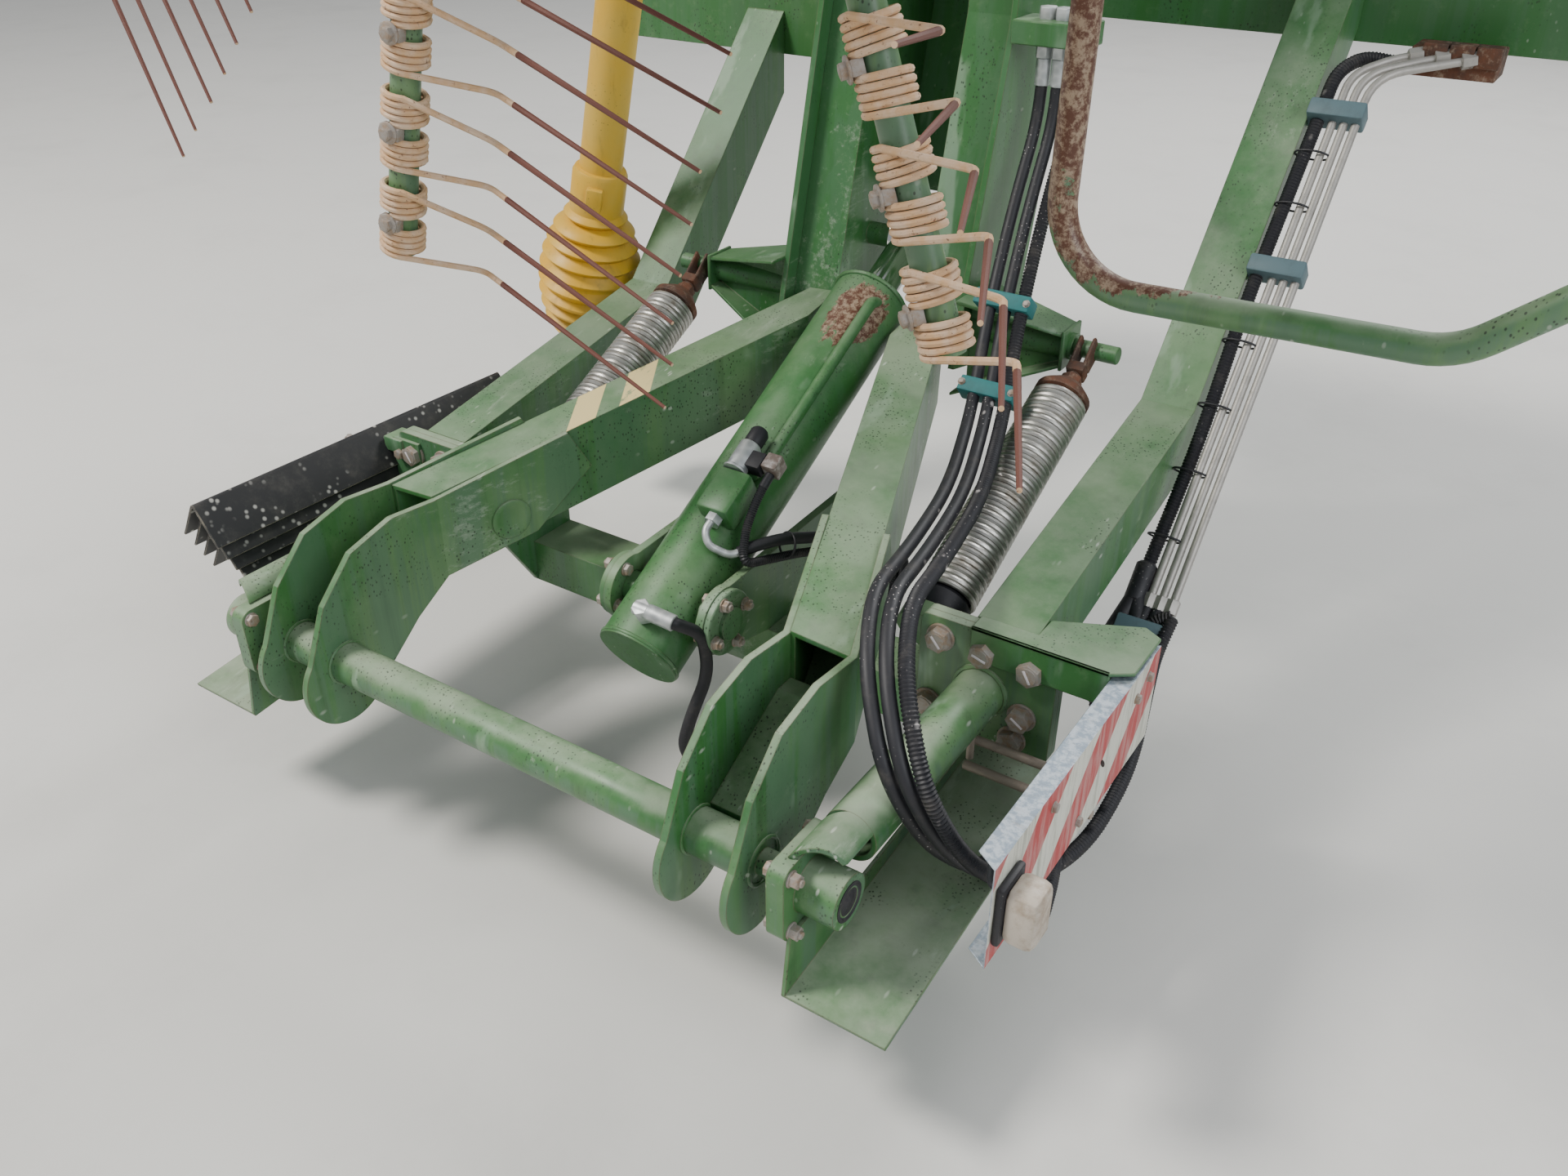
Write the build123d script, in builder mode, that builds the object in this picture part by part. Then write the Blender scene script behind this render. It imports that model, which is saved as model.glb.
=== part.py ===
"""Folding rotor unit of a rotary rake, parked folded up for the road.

Millimetres. X runs along the machine's main beam, Y points in to the machine, Z is up.
The origin is the middle of the bolting face on the far side of the main beam.
The fold axis lies along X through (0, HINGE_Y, HINGE_Z). Outlines are given as
(reach, height) from that axis: reach along +Y and height along +Z.
"""
from build123d import *
from math import atan2, cos, degrees, hypot, pi, radians, sin
import os

os.makedirs("parts", exist_ok=True)

# Place of the fold axis, from the bolting face
HINGE_Y = -2050.0
HINGE_Z = -950.0
GAP = 0.3              # play between faces that slide or rest

# Main beam
BEAM_LENGTH = 2100.0
BEAM_DEPTH = 250.0
BEAM_HEIGHT = 280.0
BEAM_WALL = 10.0
BEAM_BOLT_X = 300.0    # half spacing of the holes in the bolting face
BEAM_BOLT_Z = 90.0
BEAM_BOLT_HOLE = 22.0
LOWER_BOX_INNER_X = 110.0
LOWER_BOX_DEPTH = 200.0
LOWER_BOX_HEIGHT = 250.0
LOWER_BOX_BOTTOM = 700.0

# Outer bent beams, one each side
OUTER_X = 600.0
OUTER_WIDTH = 100.0
OUTER_DEPTH = 120.0
OUTER_WALL = 8.0
KINK_REACH = 1130.0
KINK_HEIGHT = 280.0
OUTER_FOOT_HEIGHT = 156.0
OUTER_TOP_REACH = 1690.0
OUTER_TOP_HEIGHT = 890.0

# Bolted joint at the foot of each outer beam
FLANGE_REACH = 470.0
FLANGE_THICK = 16.0
FLANGE_INNER_X = 470.0
FLANGE_OUTER_X = 700.0
FLANGE_LOW = -50.0
FLANGE_HIGH = 155.0
FLANGE_HOLE = 25.0

# Hinge arms, fold bearings
ARM_TUBE_X = 580.0
ARM_TUBE_OD = 82.0
ARM_TUBE_WALL = 8.0
ARM_TUBE_REACH = 40.0
ARM_TUBE_HEIGHT = 47.0
BEARING_OD = 82.0
BEARING_RUBBER_OD = 60.0
BEARING_OUT_X = 619.0
HINGE_PLATE_IN_X = 530.0
HINGE_PLATE_THICK = 14.0
BEARING_PLATE_THICK = 14.0
BEARING_BOLT_SQUARE = 94.0
BEARING_PLATE_SIZE = 128.0
BEARING_HOLE = 14.0

# Yoke of the folding arm
CROSS_TUBE_OD = 70.0
CROSS_TUBE_WALL = 10.0
PIN_OD = 40.0
FORK_IN_X = 357.0
FORK_OUT_X = 470.0
FORK_THICK = 12.0
FORK_END_REACH = 238.0             # where the fork plates bend to follow the box
BOX_HEIGHT = 150.0
BOX_WALL = 8.0
BOX_SPLAY = 20.0                   # degrees, seen from above
BOX_RISE = 10.3                    # degrees
BOX_FOOT_HEIGHT = 122.0            # centre line where the box starts
FISH_LENGTH = 300.0
FORK_UPPER = [                     # upper edge of a fork plate, from its nose
    # reach, height
    (-66.0, 25.0), (-22.0, 118.0), (48.0, 185.0), (140.0, 208.0),
]
FORK_LOWER = [                     # lower edge, back to the nose
    # reach, height
    (160.0, 2.0), (92.0, -52.0), (68.0, -70.0),
]
FORK_TIP = (0.0, -112.0)

# Column
COLUMN_X = 205.0
SIDE_THICK = 12.0
COLUMN_SET_BACK = 35.0             # front plates behind the edges of the side plates
SLOT_X = 92.0                      # half width of the slot for the cylinder
FRONT_THICK = 10.0
COLUMN_LEAN = [                    # front edge, back edge
    # reach, height
    ((1050.0, 285.0), (1300.0, 235.0)),
    ((1200.0, 887.0), (1470.0, 887.0)),
    ((1235.0, 1400.0), (1490.0, 1480.0)),
    ((830.0, 2060.0), (1050.0, 2160.0)),
    ((830.0, 2480.0), (1050.0, 2480.0)),
]
BACK_LOW_HEIGHT = 520.0            # lower end of the plate behind the slot

# Rotor
ROTOR_REACH = 300.0
ROTOR_HEIGHT = 2290.0
ROTOR_RADIUS = 1735.0
HEAD_OD = 360.0
HEAD_FRONT_REACH = 405.0
DRUM_OD = 640.0
DRUM_DEPTH = 170.0
TINE_ARMS = 11
FIRST_ARM_ANGLE = -13.9            # from straight down, towards +X
ARM_OD = 45.0
SOCKET_OD = 72.0
SOCKET_OUT = 470.0
TINE_PITCH = 145.0
TINES_PER_ARM = 4
LAST_TINE = 58.0                   # last clamp bolt, in from the arm's tip
COIL_OD = 74.0
COIL_LENGTH = 42.0
COIL_OFFSET = 31.0                 # middle of a coil, from its clamp bolt
WIRE = 10.0
LEG_FIRST = 110.0
LEG_SECOND = 385.0
LEG_BEND = 50.0
TINE_ROLL = [                      # turn of the legs from the rotor's plane to the ground
    # arm, degrees
    12, 55, 82, 90, 90, 90, 90, 86, 70, 40, 15,
]

# Lift cylinder
TRUNNION_REACH = 425.0
TRUNNION_HEIGHT = 19.0
EYE_REACH = 1236.0
EYE_HEIGHT = 453.0
BARREL_OD = 152.0
BARREL_BACK = 120.0                # barrel behind the trunnion
BARREL_FRONT = 750.0
BARREL_WALL = 14.0
ROD_OD = 70.0
EYE_OD = 96.0
EYE_PIN = 45.0
TRUNNION_OD = 60.0
TRUNNION_X = 128.0
LEVER_X = 100.0
LEVER_THICK = 16.0
CRADLE_REACH = 560.0
CRADLE_DEPTH = 110.0
CRADLE_HEIGHT = 90.0
CRADLE_LOW = -165.0

# Relief springs
SPRING_X = 440.0
SPRING_FOOT = (560.0, 71.0)
SPRING_HEAD = (1128.0, 351.5)
SPRING_OD = 108.0

# Warning board
BOARD_X = 810.0
BOARD_NEAR = 13.0
BOARD_LENGTH = 564.0
BOARD_TOP = 149.0
BOARD_HEIGHT = 170.0
BOARD_THICK = 2.0
BOARD_FLANGE = 32.0

# Floor guards
GUARD_IN_X = 558.0
GUARD_OUT_X = 720.0
GUARD_THICK = 6.0

# Running gear under the rotor
WHEEL_OD = 400.0
WHEEL_WIDTH = 160.0
RIM_OD = 220.0
AXLE_OD = 30.0
WHEEL_CENTRE_REACH = 0.0
GEAR_BEAM = 80.0
ROCKER_HALF = 240.0
TRACK_HALF = 520.0
WHEEL_AWAY = 100.0
EYE_PIN_IN = 38.0
EYE_WIDTH = 56.0
GLAND_LENGTH = 40.0
PISTON_BACK = 70.0
PISTON_LENGTH = 45.0
LEVER_EYE = 62.0
LEVER_FAR = 900.0
CRADLE_X = 470.0
SPRING_EYE = 90.0
SPRING_SEAT = 30.0
SPRING_ROD_OD = 20.0
SPRING_EYE_OD = 50.0
SPRING_EYE_WIDTH = 26.0
SPRING_PIN = 20.0
SPRING_TUBE_OD = 50.0
SHAFT_OD = 100.0
PAD_RADIUS = 190.0
PAD_SIZE = 70.0
HEAD_BACK_REACH = 865.0
COIL_SIDES = 8
ROCKER_SIZE = 60.0
RIM_WIDTH = 120.0
HOOP_REACH = 500.0
HOOP_OD = 38.0
HOOP_BEND = 110.0
HOOP = [
    # x, height
    (0.0, 2290.0), (612.0, 1400.0), (604.0, 690.0), (1090.0, 700.0), (1450.0, 1000.0), (1250.0, 2400.0),
    (0.0, 2290.0),
]
LAMP_DEPTH = 55.0
FLOOR_GUARD = [
    # reach, height
    (-70.0, -150.0), (500.0, -90.0), (500.0, -96.0), (-68.0, -156.0),
]
GUARD_LEG = [
    # reach, height
    (-70.0, -152.0), (-55.0, -50.0), (60.0, -50.0), (110.0, -100.0), (420.0, -80.0), (454.0, -50.0), (470.0, -50.0),
    (500.0, -92.0),
]


def side_plane(x):
    """Sketch plane across X: local x is reach, local y is height."""
    return Plane(origin=(x, HINGE_Y, HINGE_Z), x_dir=(0, 1, 0), z_dir=(1, 0, 0))


def front_plane(reach):
    """Sketch plane facing the viewer: local x is X, local y is height."""
    return Plane(origin=(0, HINGE_Y + reach, HINGE_Z), x_dir=(1, 0, 0), z_dir=(0, -1, 0))


def place(x, reach, height):
    """A point of the unit from its X and its reach and height over the fold axis."""
    return Vector(x, HINGE_Y + reach, HINGE_Z + height)


def save(part, name):
    part.label = name
    export_step(part, f"parts/{name}.step")


SIDES = [("left", -1), ("right", 1)]

BEAM_MID_HEIGHT = -HINGE_Z
BEAM_FRONT = -HINGE_Y - BEAM_DEPTH

# Main beam: a square hollow section with the bolting face at the back
with BuildPart() as main_beam:
    with BuildSketch(Plane.YZ.offset(-BEAM_LENGTH / 2)):
        with Locations((-BEAM_DEPTH / 2, 0)):
            Rectangle(BEAM_DEPTH, BEAM_HEIGHT)
            Rectangle(BEAM_DEPTH - 2 * BEAM_WALL, BEAM_HEIGHT - 2 * BEAM_WALL, mode=Mode.SUBTRACT)
    extrude(amount=BEAM_LENGTH)
    with BuildSketch(Plane.XZ):
        with GridLocations(2 * BEAM_BOLT_X, 2 * BEAM_BOLT_Z, 2, 2):
            Circle(BEAM_BOLT_HOLE / 2)
    extrude(amount=BEAM_WALL, mode=Mode.SUBTRACT)
save(main_beam.part, "main_beam")

# Deeper box on the left half of the beam
with BuildPart() as lower_box:
    left_end = -BEAM_LENGTH / 2
    with BuildSketch(side_plane(left_end)):
        with Locations((BEAM_FRONT - LOWER_BOX_DEPTH / 2, LOWER_BOX_BOTTOM + LOWER_BOX_HEIGHT / 2)):
            Rectangle(LOWER_BOX_DEPTH, LOWER_BOX_HEIGHT)
    extrude(amount=-left_end - LOWER_BOX_INNER_X)
save(lower_box.part, "beam_lower_box")

# Outer bent beams
kink_angle = degrees(atan2(OUTER_TOP_HEIGHT - KINK_HEIGHT, OUTER_TOP_REACH - KINK_REACH))
foot_reach = FLANGE_REACH + FLANGE_THICK
low_angle = degrees(atan2(KINK_HEIGHT - OUTER_FOOT_HEIGHT, KINK_REACH - foot_reach))


def outer_outline(inset, top_reach):
    """Bent outline of the outer beam, its walls set in by inset."""
    low = radians(low_angle)
    high = radians(kink_angle)
    half = (low + high) / 2
    top_edge = [(foot_reach, OUTER_FOOT_HEIGHT), (KINK_REACH, KINK_HEIGHT)]
    rise = (top_reach - KINK_REACH) * sin(high) / cos(high)
    top_edge.append((top_reach, KINK_HEIGHT + rise))

    def under(point, lean, depth):
        return point[0] + depth * sin(lean), point[1] - depth * cos(lean)

    stretch = cos(half - low)
    near = inset
    far = OUTER_DEPTH - inset
    foot_top = (top_edge[0][0], top_edge[0][1] - near / cos(low))
    foot_low = (top_edge[0][0], top_edge[0][1] - far / cos(low))
    kink_top = under(top_edge[1], half, near / stretch)
    kink_low = under(top_edge[1], half, far / stretch)
    head_top = (top_reach, top_edge[2][1] - near / cos(high))
    head_low = (top_reach, top_edge[2][1] - far / cos(high))
    return [foot_top, kink_top, head_top, head_low, kink_low, foot_low]


for side, sign in SIDES:
    end_reach = BEAM_FRONT if sign > 0 else BEAM_FRONT - LOWER_BOX_DEPTH
    with BuildPart() as outer_beam:
        with BuildSketch(side_plane(sign * OUTER_X)):
            Polygon(*outer_outline(0, end_reach), align=None)
        extrude(amount=OUTER_WIDTH / 2, both=True)
        with BuildSketch(side_plane(sign * OUTER_X)):
            Polygon(*outer_outline(OUTER_WALL, end_reach), align=None)
        extrude(amount=OUTER_WIDTH / 2 - OUTER_WALL, both=True, mode=Mode.SUBTRACT)
    save(outer_beam.part, f"outer_beam_{side}")

    # Flange on the foot of the beam
    with BuildPart() as flange:
        with BuildSketch(front_plane(FLANGE_REACH + FLANGE_THICK)):
            with Locations((sign * (FLANGE_INNER_X + FLANGE_OUTER_X) / 2, (FLANGE_LOW + FLANGE_HIGH) / 2)):
                RectangleRounded(FLANGE_OUTER_X - FLANGE_INNER_X, FLANGE_HIGH - FLANGE_LOW, 12)
        extrude(amount=FLANGE_THICK)
    save(flange.part, f"beam_flange_{side}")

    # Hinge arm: flange, tube and the plate that carries the fold bearing
    with BuildPart() as hinge_arm:
        with BuildSketch(front_plane(FLANGE_REACH)):
            with Locations((sign * (FLANGE_INNER_X + FLANGE_OUTER_X) / 2, (FLANGE_LOW + FLANGE_HIGH) / 2)):
                RectangleRounded(FLANGE_OUTER_X - FLANGE_INNER_X, FLANGE_HIGH - FLANGE_LOW, 12)
        extrude(amount=FLANGE_THICK)
        with BuildSketch(front_plane(FLANGE_REACH - FLANGE_THICK)):
            with Locations((sign * ARM_TUBE_X, ARM_TUBE_HEIGHT)):
                Circle(ARM_TUBE_OD / 2)
                Circle(ARM_TUBE_OD / 2 - ARM_TUBE_WALL, mode=Mode.SUBTRACT)
        extrude(amount=FLANGE_REACH - FLANGE_THICK - BEARING_PLATE_SIZE / 2)
    save(hinge_arm.part, f"hinge_arm_{side}")

    # Bearing plate and stub round the fold pin
    plate_x = sign * HINGE_PLATE_IN_X
    with BuildPart() as bearing:
        with BuildSketch(side_plane(plate_x)):
            RectangleRounded(BEARING_PLATE_SIZE, BEARING_PLATE_SIZE, 20)
            Circle(PIN_OD / 2 + GAP, mode=Mode.SUBTRACT)
            with GridLocations(BEARING_BOLT_SQUARE, BEARING_BOLT_SQUARE, 2, 2):
                Circle(BEARING_HOLE / 2, mode=Mode.SUBTRACT)
        extrude(amount=sign * (HINGE_PLATE_THICK + BEARING_PLATE_THICK))
        with BuildSketch(side_plane(plate_x)):
            Circle(BEARING_OD / 2)
            Circle(PIN_OD / 2 + GAP, mode=Mode.SUBTRACT)
        extrude(amount=sign * (BEARING_OUT_X - HINGE_PLATE_IN_X))
    save(bearing.part, f"fold_bearing_{side}")

# Cross tube of the yoke with its two fold pins
with BuildPart() as cross_tube:
    with BuildSketch(side_plane(-FORK_OUT_X - FORK_THICK)):
        Circle(CROSS_TUBE_OD / 2)
    extrude(amount=2 * (FORK_OUT_X + FORK_THICK))
    with BuildSketch(side_plane(-BEARING_OUT_X + 10)):
        Circle(PIN_OD / 2)
    extrude(amount=2 * (BEARING_OUT_X - 10))
save(cross_tube.part, "cross_tube")


def mirrored(sign, low, high):
    """The two ends of a stretch along X on one side."""
    return (low, high) if sign > 0 else (-high, -low)


# Fork plates: flat round the cross tube, then bent to lie on the side of the box arm
splay = radians(BOX_SPLAY)
rise = radians(BOX_RISE)
box_low = BOX_FOOT_HEIGHT - BOX_HEIGHT / 2 / cos(rise)
box_high = BOX_FOOT_HEIGHT + BOX_HEIGHT / 2 / cos(rise)
for side, sign in SIDES:
    for place_name, x in (("inner", FORK_IN_X), ("outer", FORK_OUT_X)):
        low, high = mirrored(sign, x, x + FORK_THICK)
        with BuildPart() as fork:
            with BuildSketch(side_plane(low)):
                with BuildLine():
                    upper = Polyline(*FORK_UPPER, (FORK_END_REACH, box_high))
                    end = Line(upper @ 1, (FORK_END_REACH, box_low))
                    lower = Polyline(end @ 1, *FORK_LOWER)
                    ThreePointArc(lower @ 1, FORK_TIP, upper @ 0)
                make_face()
                Circle(CROSS_TUBE_OD / 2, mode=Mode.SUBTRACT)
            extrude(amount=high - low)
            corner = place(sign * x, FORK_END_REACH, 0)
            along = Vector(-sign * sin(splay), cos(splay), 0)
            fish_plane = Plane(origin=corner, x_dir=along, z_dir=(sign * cos(splay), sin(splay), 0))
            end_low = box_low + FISH_LENGTH * sin(rise)
            end_high = box_high + FISH_LENGTH * sin(rise)
            up = sign
            lap = -FORK_THICK * sin(splay)
            with BuildSketch(fish_plane):
                Polygon(
                    (lap, up * box_low), (lap, up * box_high),
                    (0.86 * FISH_LENGTH, up * end_high), (FISH_LENGTH, up * (end_low + end_high) / 2),
                    (0.6 * FISH_LENGTH, up * (box_low + 0.6 * (end_low - box_low))),
                    align=None,
                )
            extrude(amount=FORK_THICK * cos(splay))
        save(fork.part, f"fork_{place_name}_{side}")

column_front_low = COLUMN_LEAN[0][0]
column_front_next = COLUMN_LEAN[1][0]
front_lean = atan2(column_front_next[0] - column_front_low[0], column_front_next[1] - column_front_low[1])


def column_outline(front_in, back_in, low, high):
    """Side outline of the column between two heights, its front and back set in."""
    front = []
    back = []
    for near, far in COLUMN_LEAN:
        front.append((near[0] + front_in, near[1]))
        back.append((far[0] - back_in, far[1]))

    def cut(line, height):
        for start, end in zip(line, line[1:]):
            if start[1] <= height <= end[1]:
                share = (height - start[1]) / (end[1] - start[1])
                return start[0] + share * (end[0] - start[0]), height
        return line[0] if height < line[0][1] else line[-1]

    inside_front = [point for point in front if low < point[1] < high]
    inside_back = [point for point in back if low < point[1] < high]
    return [cut(front, low), *inside_front, cut(front, high),
            cut(back, high), *reversed(inside_back), cut(back, low)]


COLUMN_TOP = COLUMN_LEAN[-1][0][1]
SLOT_TOP_HEIGHT = 1150.0

# Column: two side plates, a box leg each side of the cylinder's slot and the box above
for side, sign in SIDES:
    low, high = mirrored(sign, COLUMN_X - SIDE_THICK, COLUMN_X)
    with BuildPart() as column_side:
        with BuildSketch(side_plane(low)):
            Polygon(*column_outline(0, 0, 0, COLUMN_TOP), align=None)
        extrude(amount=high - low)
    save(column_side.part, f"column_side_{side}")

    low, high = mirrored(sign, SLOT_X, COLUMN_X - SIDE_THICK)
    with BuildPart() as column_leg:
        with BuildSketch(side_plane(low)):
            Polygon(*column_outline(COLUMN_SET_BACK, 0, 0, SLOT_TOP_HEIGHT), align=None)
        extrude(amount=high - low)
        low, high = mirrored(sign, EYE_PIN_IN, SLOT_X)
        with BuildSketch(side_plane(low)):
            with Locations((EYE_REACH, EYE_HEIGHT)):
                Circle(EYE_PIN / 2)
        extrude(amount=high - low)
    save(column_leg.part, f"column_leg_{side}")

with BuildPart() as column_upper:
    with BuildSketch(side_plane(SIDE_THICK - COLUMN_X)):
        Polygon(*column_outline(COLUMN_SET_BACK, 0, SLOT_TOP_HEIGHT, COLUMN_TOP), align=None)
    extrude(amount=2 * (COLUMN_X - SIDE_THICK))
save(column_upper.part, "column_upper")

back_low = COLUMN_LEAN[0][1]
back_next = COLUMN_LEAN[1][1]
with BuildPart() as column_back:
    with BuildSketch(side_plane(-SLOT_X)):
        lower = column_outline(0, 0, BACK_LOW_HEIGHT, SLOT_TOP_HEIGHT)[3:]
        inner = [(reach - FRONT_THICK, height) for reach, height in reversed(lower)]
        Polygon(*lower, *inner, align=None)
    extrude(amount=2 * SLOT_X)
save(column_back.part, "column_back")

# Box arms of the yoke, from the fork to the front of the column
box_width = (FORK_OUT_X - FORK_IN_X - FORK_THICK) * cos(splay)
for side, sign in SIDES:
    middle_x = (FORK_OUT_X + FORK_IN_X + FORK_THICK) / 2
    start = place(sign * middle_x, FORK_END_REACH, BOX_FOOT_HEIGHT)
    along = Vector(-sign * sin(splay) * cos(rise), cos(splay) * cos(rise), sin(rise))
    across = Vector(sign * cos(splay), sin(splay), 0)
    with BuildPart() as yoke_box:
        with BuildSketch(Plane(origin=start - along * 100, x_dir=across, z_dir=along)):
            Rectangle(box_width, BOX_HEIGHT)
            Rectangle(box_width - 2 * BOX_WALL, BOX_HEIGHT - 2 * BOX_WALL, mode=Mode.SUBTRACT)
        extrude(amount=1200)
        split(bisect_by=Plane(origin=start, z_dir=(0, 1, 0)), keep=Keep.TOP)
        front_edge = place(0, column_front_low[0] + COLUMN_SET_BACK, column_front_low[1])
        split(bisect_by=Plane(origin=front_edge, z_dir=(0, cos(front_lean), -sin(front_lean))), keep=Keep.BOTTOM)
        split(bisect_by=Plane(origin=(sign * SLOT_X, 0, 0), z_dir=(sign, 0, 0)), keep=Keep.TOP)
    save(yoke_box.part, f"yoke_box_{side}")

# Web that closes each fork between its plates
for side, sign in SIDES:
    low, high = mirrored(sign, FORK_IN_X + FORK_THICK, FORK_OUT_X)
    with BuildPart() as fork_web:
        with BuildSketch(side_plane(low)):
            Polygon((34, 12), (34, 24), (205, 118), (FORK_END_REACH, 118), (FORK_END_REACH, 106),
                    (210, 106), (36, 10), align=None)
        extrude(amount=high - low)
    save(fork_web.part, f"fork_web_{side}")

# Lift cylinder, along its own axis from the trunnion
lift_angle = atan2(EYE_HEIGHT - TRUNNION_HEIGHT, EYE_REACH - TRUNNION_REACH)
lift_length = hypot(EYE_HEIGHT - TRUNNION_HEIGHT, EYE_REACH - TRUNNION_REACH)


def lift_plane(distance):
    """Sketch plane across the cylinder, at a distance from the trunnion."""
    return Plane(
        origin=place(0, TRUNNION_REACH + distance * cos(lift_angle), TRUNNION_HEIGHT + distance * sin(lift_angle)),
        x_dir=(1, 0, 0),
        z_dir=(0, cos(lift_angle), sin(lift_angle)),
    )


with BuildPart() as lift_barrel:
    with BuildSketch(lift_plane(-BARREL_BACK)):
        Circle(BARREL_OD / 2)
    extrude(amount=BARREL_BACK + BARREL_FRONT)
    with BuildSketch(side_plane(-TRUNNION_X)):
        with Locations((TRUNNION_REACH, TRUNNION_HEIGHT)):
            Circle(TRUNNION_OD / 2)
    extrude(amount=2 * TRUNNION_X)
    with BuildSketch(lift_plane(-BARREL_BACK + 2 * BARREL_WALL)):
        Circle(BARREL_OD / 2 - BARREL_WALL)
    extrude(amount=BARREL_BACK + BARREL_FRONT - 2 * BARREL_WALL - GLAND_LENGTH, mode=Mode.SUBTRACT)
    with BuildSketch(lift_plane(BARREL_FRONT)):
        Circle(ROD_OD / 2 + GAP)
    extrude(amount=-GLAND_LENGTH, mode=Mode.SUBTRACT)
save(lift_barrel.part, "lift_barrel")

with BuildPart() as lift_rod:
    with BuildSketch(lift_plane(-PISTON_BACK)):
        Circle(BARREL_OD / 2 - BARREL_WALL - GAP)
    extrude(amount=PISTON_LENGTH)
    with BuildSketch(lift_plane(-PISTON_BACK)):
        Circle(ROD_OD / 2)
    extrude(amount=PISTON_BACK + lift_length)
    with BuildSketch(side_plane(-EYE_WIDTH / 2)):
        with Locations((EYE_REACH, EYE_HEIGHT)):
            Circle(EYE_OD / 2)
    extrude(amount=EYE_WIDTH)
    with BuildSketch(side_plane(-EYE_WIDTH / 2)):
        with Locations((EYE_REACH, EYE_HEIGHT)):
            Circle(EYE_PIN / 2)
    extrude(amount=EYE_WIDTH, mode=Mode.SUBTRACT)
save(lift_rod.part, "lift_rod")

spring_run = hypot(SPRING_HEAD[0] - SPRING_FOOT[0], SPRING_HEAD[1] - SPRING_FOOT[1])
spring_angle = atan2(SPRING_HEAD[1] - SPRING_FOOT[1], SPRING_HEAD[0] - SPRING_FOOT[0])


def spring_plane(sign, distance):
    """Sketch plane across a relief spring, at a distance from its foot."""
    along = (cos(spring_angle), sin(spring_angle))
    point = place(sign * SPRING_X, SPRING_FOOT[0] + distance * along[0], SPRING_FOOT[1] + distance * along[1])
    return Plane(origin=point, x_dir=(1, 0, 0), z_dir=(0, *along))


# Levers that carry the trunnion, and the cradle they are welded to
for side, sign in SIDES:
    low, high = mirrored(sign, LEVER_X - LEVER_THICK / 2, LEVER_X + LEVER_THICK / 2)
    with BuildPart() as lever:
        with BuildSketch(side_plane(low)):
            with Locations((TRUNNION_REACH, TRUNNION_HEIGHT)):
                Circle(LEVER_EYE)
            Polygon((TRUNNION_REACH - 20, TRUNNION_HEIGHT + LEVER_EYE - 5), (LEVER_FAR, 95), (LEVER_FAR, 40),
                    (CRADLE_REACH + CRADLE_DEPTH, CRADLE_LOW + CRADLE_HEIGHT),
                    (CRADLE_REACH, CRADLE_LOW + CRADLE_HEIGHT), (TRUNNION_REACH, TRUNNION_HEIGHT - LEVER_EYE),
                    align=None)
            with Locations((TRUNNION_REACH, TRUNNION_HEIGHT)):
                Circle(TRUNNION_OD / 2 + GAP, mode=Mode.SUBTRACT)
        extrude(amount=high - low)
    save(lever.part, f"trunnion_lever_{side}")

with BuildPart() as cradle:
    with BuildSketch(side_plane(-CRADLE_X)):
        with Locations((CRADLE_REACH + CRADLE_DEPTH / 2, CRADLE_LOW + CRADLE_HEIGHT / 2)):
            Rectangle(CRADLE_DEPTH, CRADLE_HEIGHT)
            Rectangle(CRADLE_DEPTH - 2 * OUTER_WALL, CRADLE_HEIGHT - 2 * OUTER_WALL, mode=Mode.SUBTRACT)
    extrude(amount=2 * CRADLE_X)
save(cradle.part, "cradle_tube")

for side, sign in SIDES:
    low, high = mirrored(sign, CRADLE_X, CRADLE_X + SIDE_THICK)
    foot_back = FLANGE_REACH + FLANGE_THICK
    with BuildPart() as cradle_end:
        with BuildSketch(side_plane(low)):
            Polygon((foot_back, 95), (foot_back, FLANGE_LOW), (CRADLE_REACH, CRADLE_LOW),
                    (CRADLE_REACH + CRADLE_DEPTH, CRADLE_LOW), (CRADLE_REACH + CRADLE_DEPTH, 0),
                    (CRADLE_REACH + 5, 0), (525, 95), align=None)
        extrude(amount=high - low)
        with BuildSketch(spring_plane(sign, -GAP)):
            Circle(SPRING_OD / 2)
        extrude(amount=-SPRING_SEAT)
    save(cradle_end.part, f"cradle_end_{side}")

# Relief springs: coil, draw rod and eye
for side, sign in SIDES:
    with BuildPart() as spring:
        with BuildSketch(spring_plane(sign, 0)):
            Circle(SPRING_OD / 2)
        extrude(amount=spring_run - SPRING_EYE)
        with BuildSketch(spring_plane(sign, spring_run - SPRING_EYE)):
            Circle(SPRING_ROD_OD / 2)
        extrude(amount=SPRING_EYE)
        with BuildSketch(side_plane(sign * SPRING_X)):
            with Locations(SPRING_HEAD):
                Circle(SPRING_EYE_OD / 2)
        extrude(amount=SPRING_EYE_WIDTH / 2, both=True)
        with BuildSketch(side_plane(sign * SPRING_X)):
            with Locations(SPRING_HEAD):
                Circle(SPRING_PIN / 2 + GAP)
        extrude(amount=SPRING_EYE_WIDTH / 2, both=True, mode=Mode.SUBTRACT)
    save(spring.part, f"relief_spring_{side}")

    # Tube and pin on the column that pull the spring
    low, high = mirrored(sign, COLUMN_X, SPRING_X - SPRING_EYE_WIDTH)
    pin_low, pin_high = mirrored(sign, COLUMN_X, SPRING_X + SPRING_EYE_WIDTH)
    with BuildPart() as spring_tube:
        with BuildSketch(side_plane(low)):
            with Locations(SPRING_HEAD):
                Circle(SPRING_TUBE_OD / 2)
        extrude(amount=high - low)
        with BuildSketch(side_plane(pin_low)):
            with Locations(SPRING_HEAD):
                Circle(SPRING_PIN / 2)
        extrude(amount=pin_high - pin_low)
    save(spring_tube.part, f"spring_tube_{side}")

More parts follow.
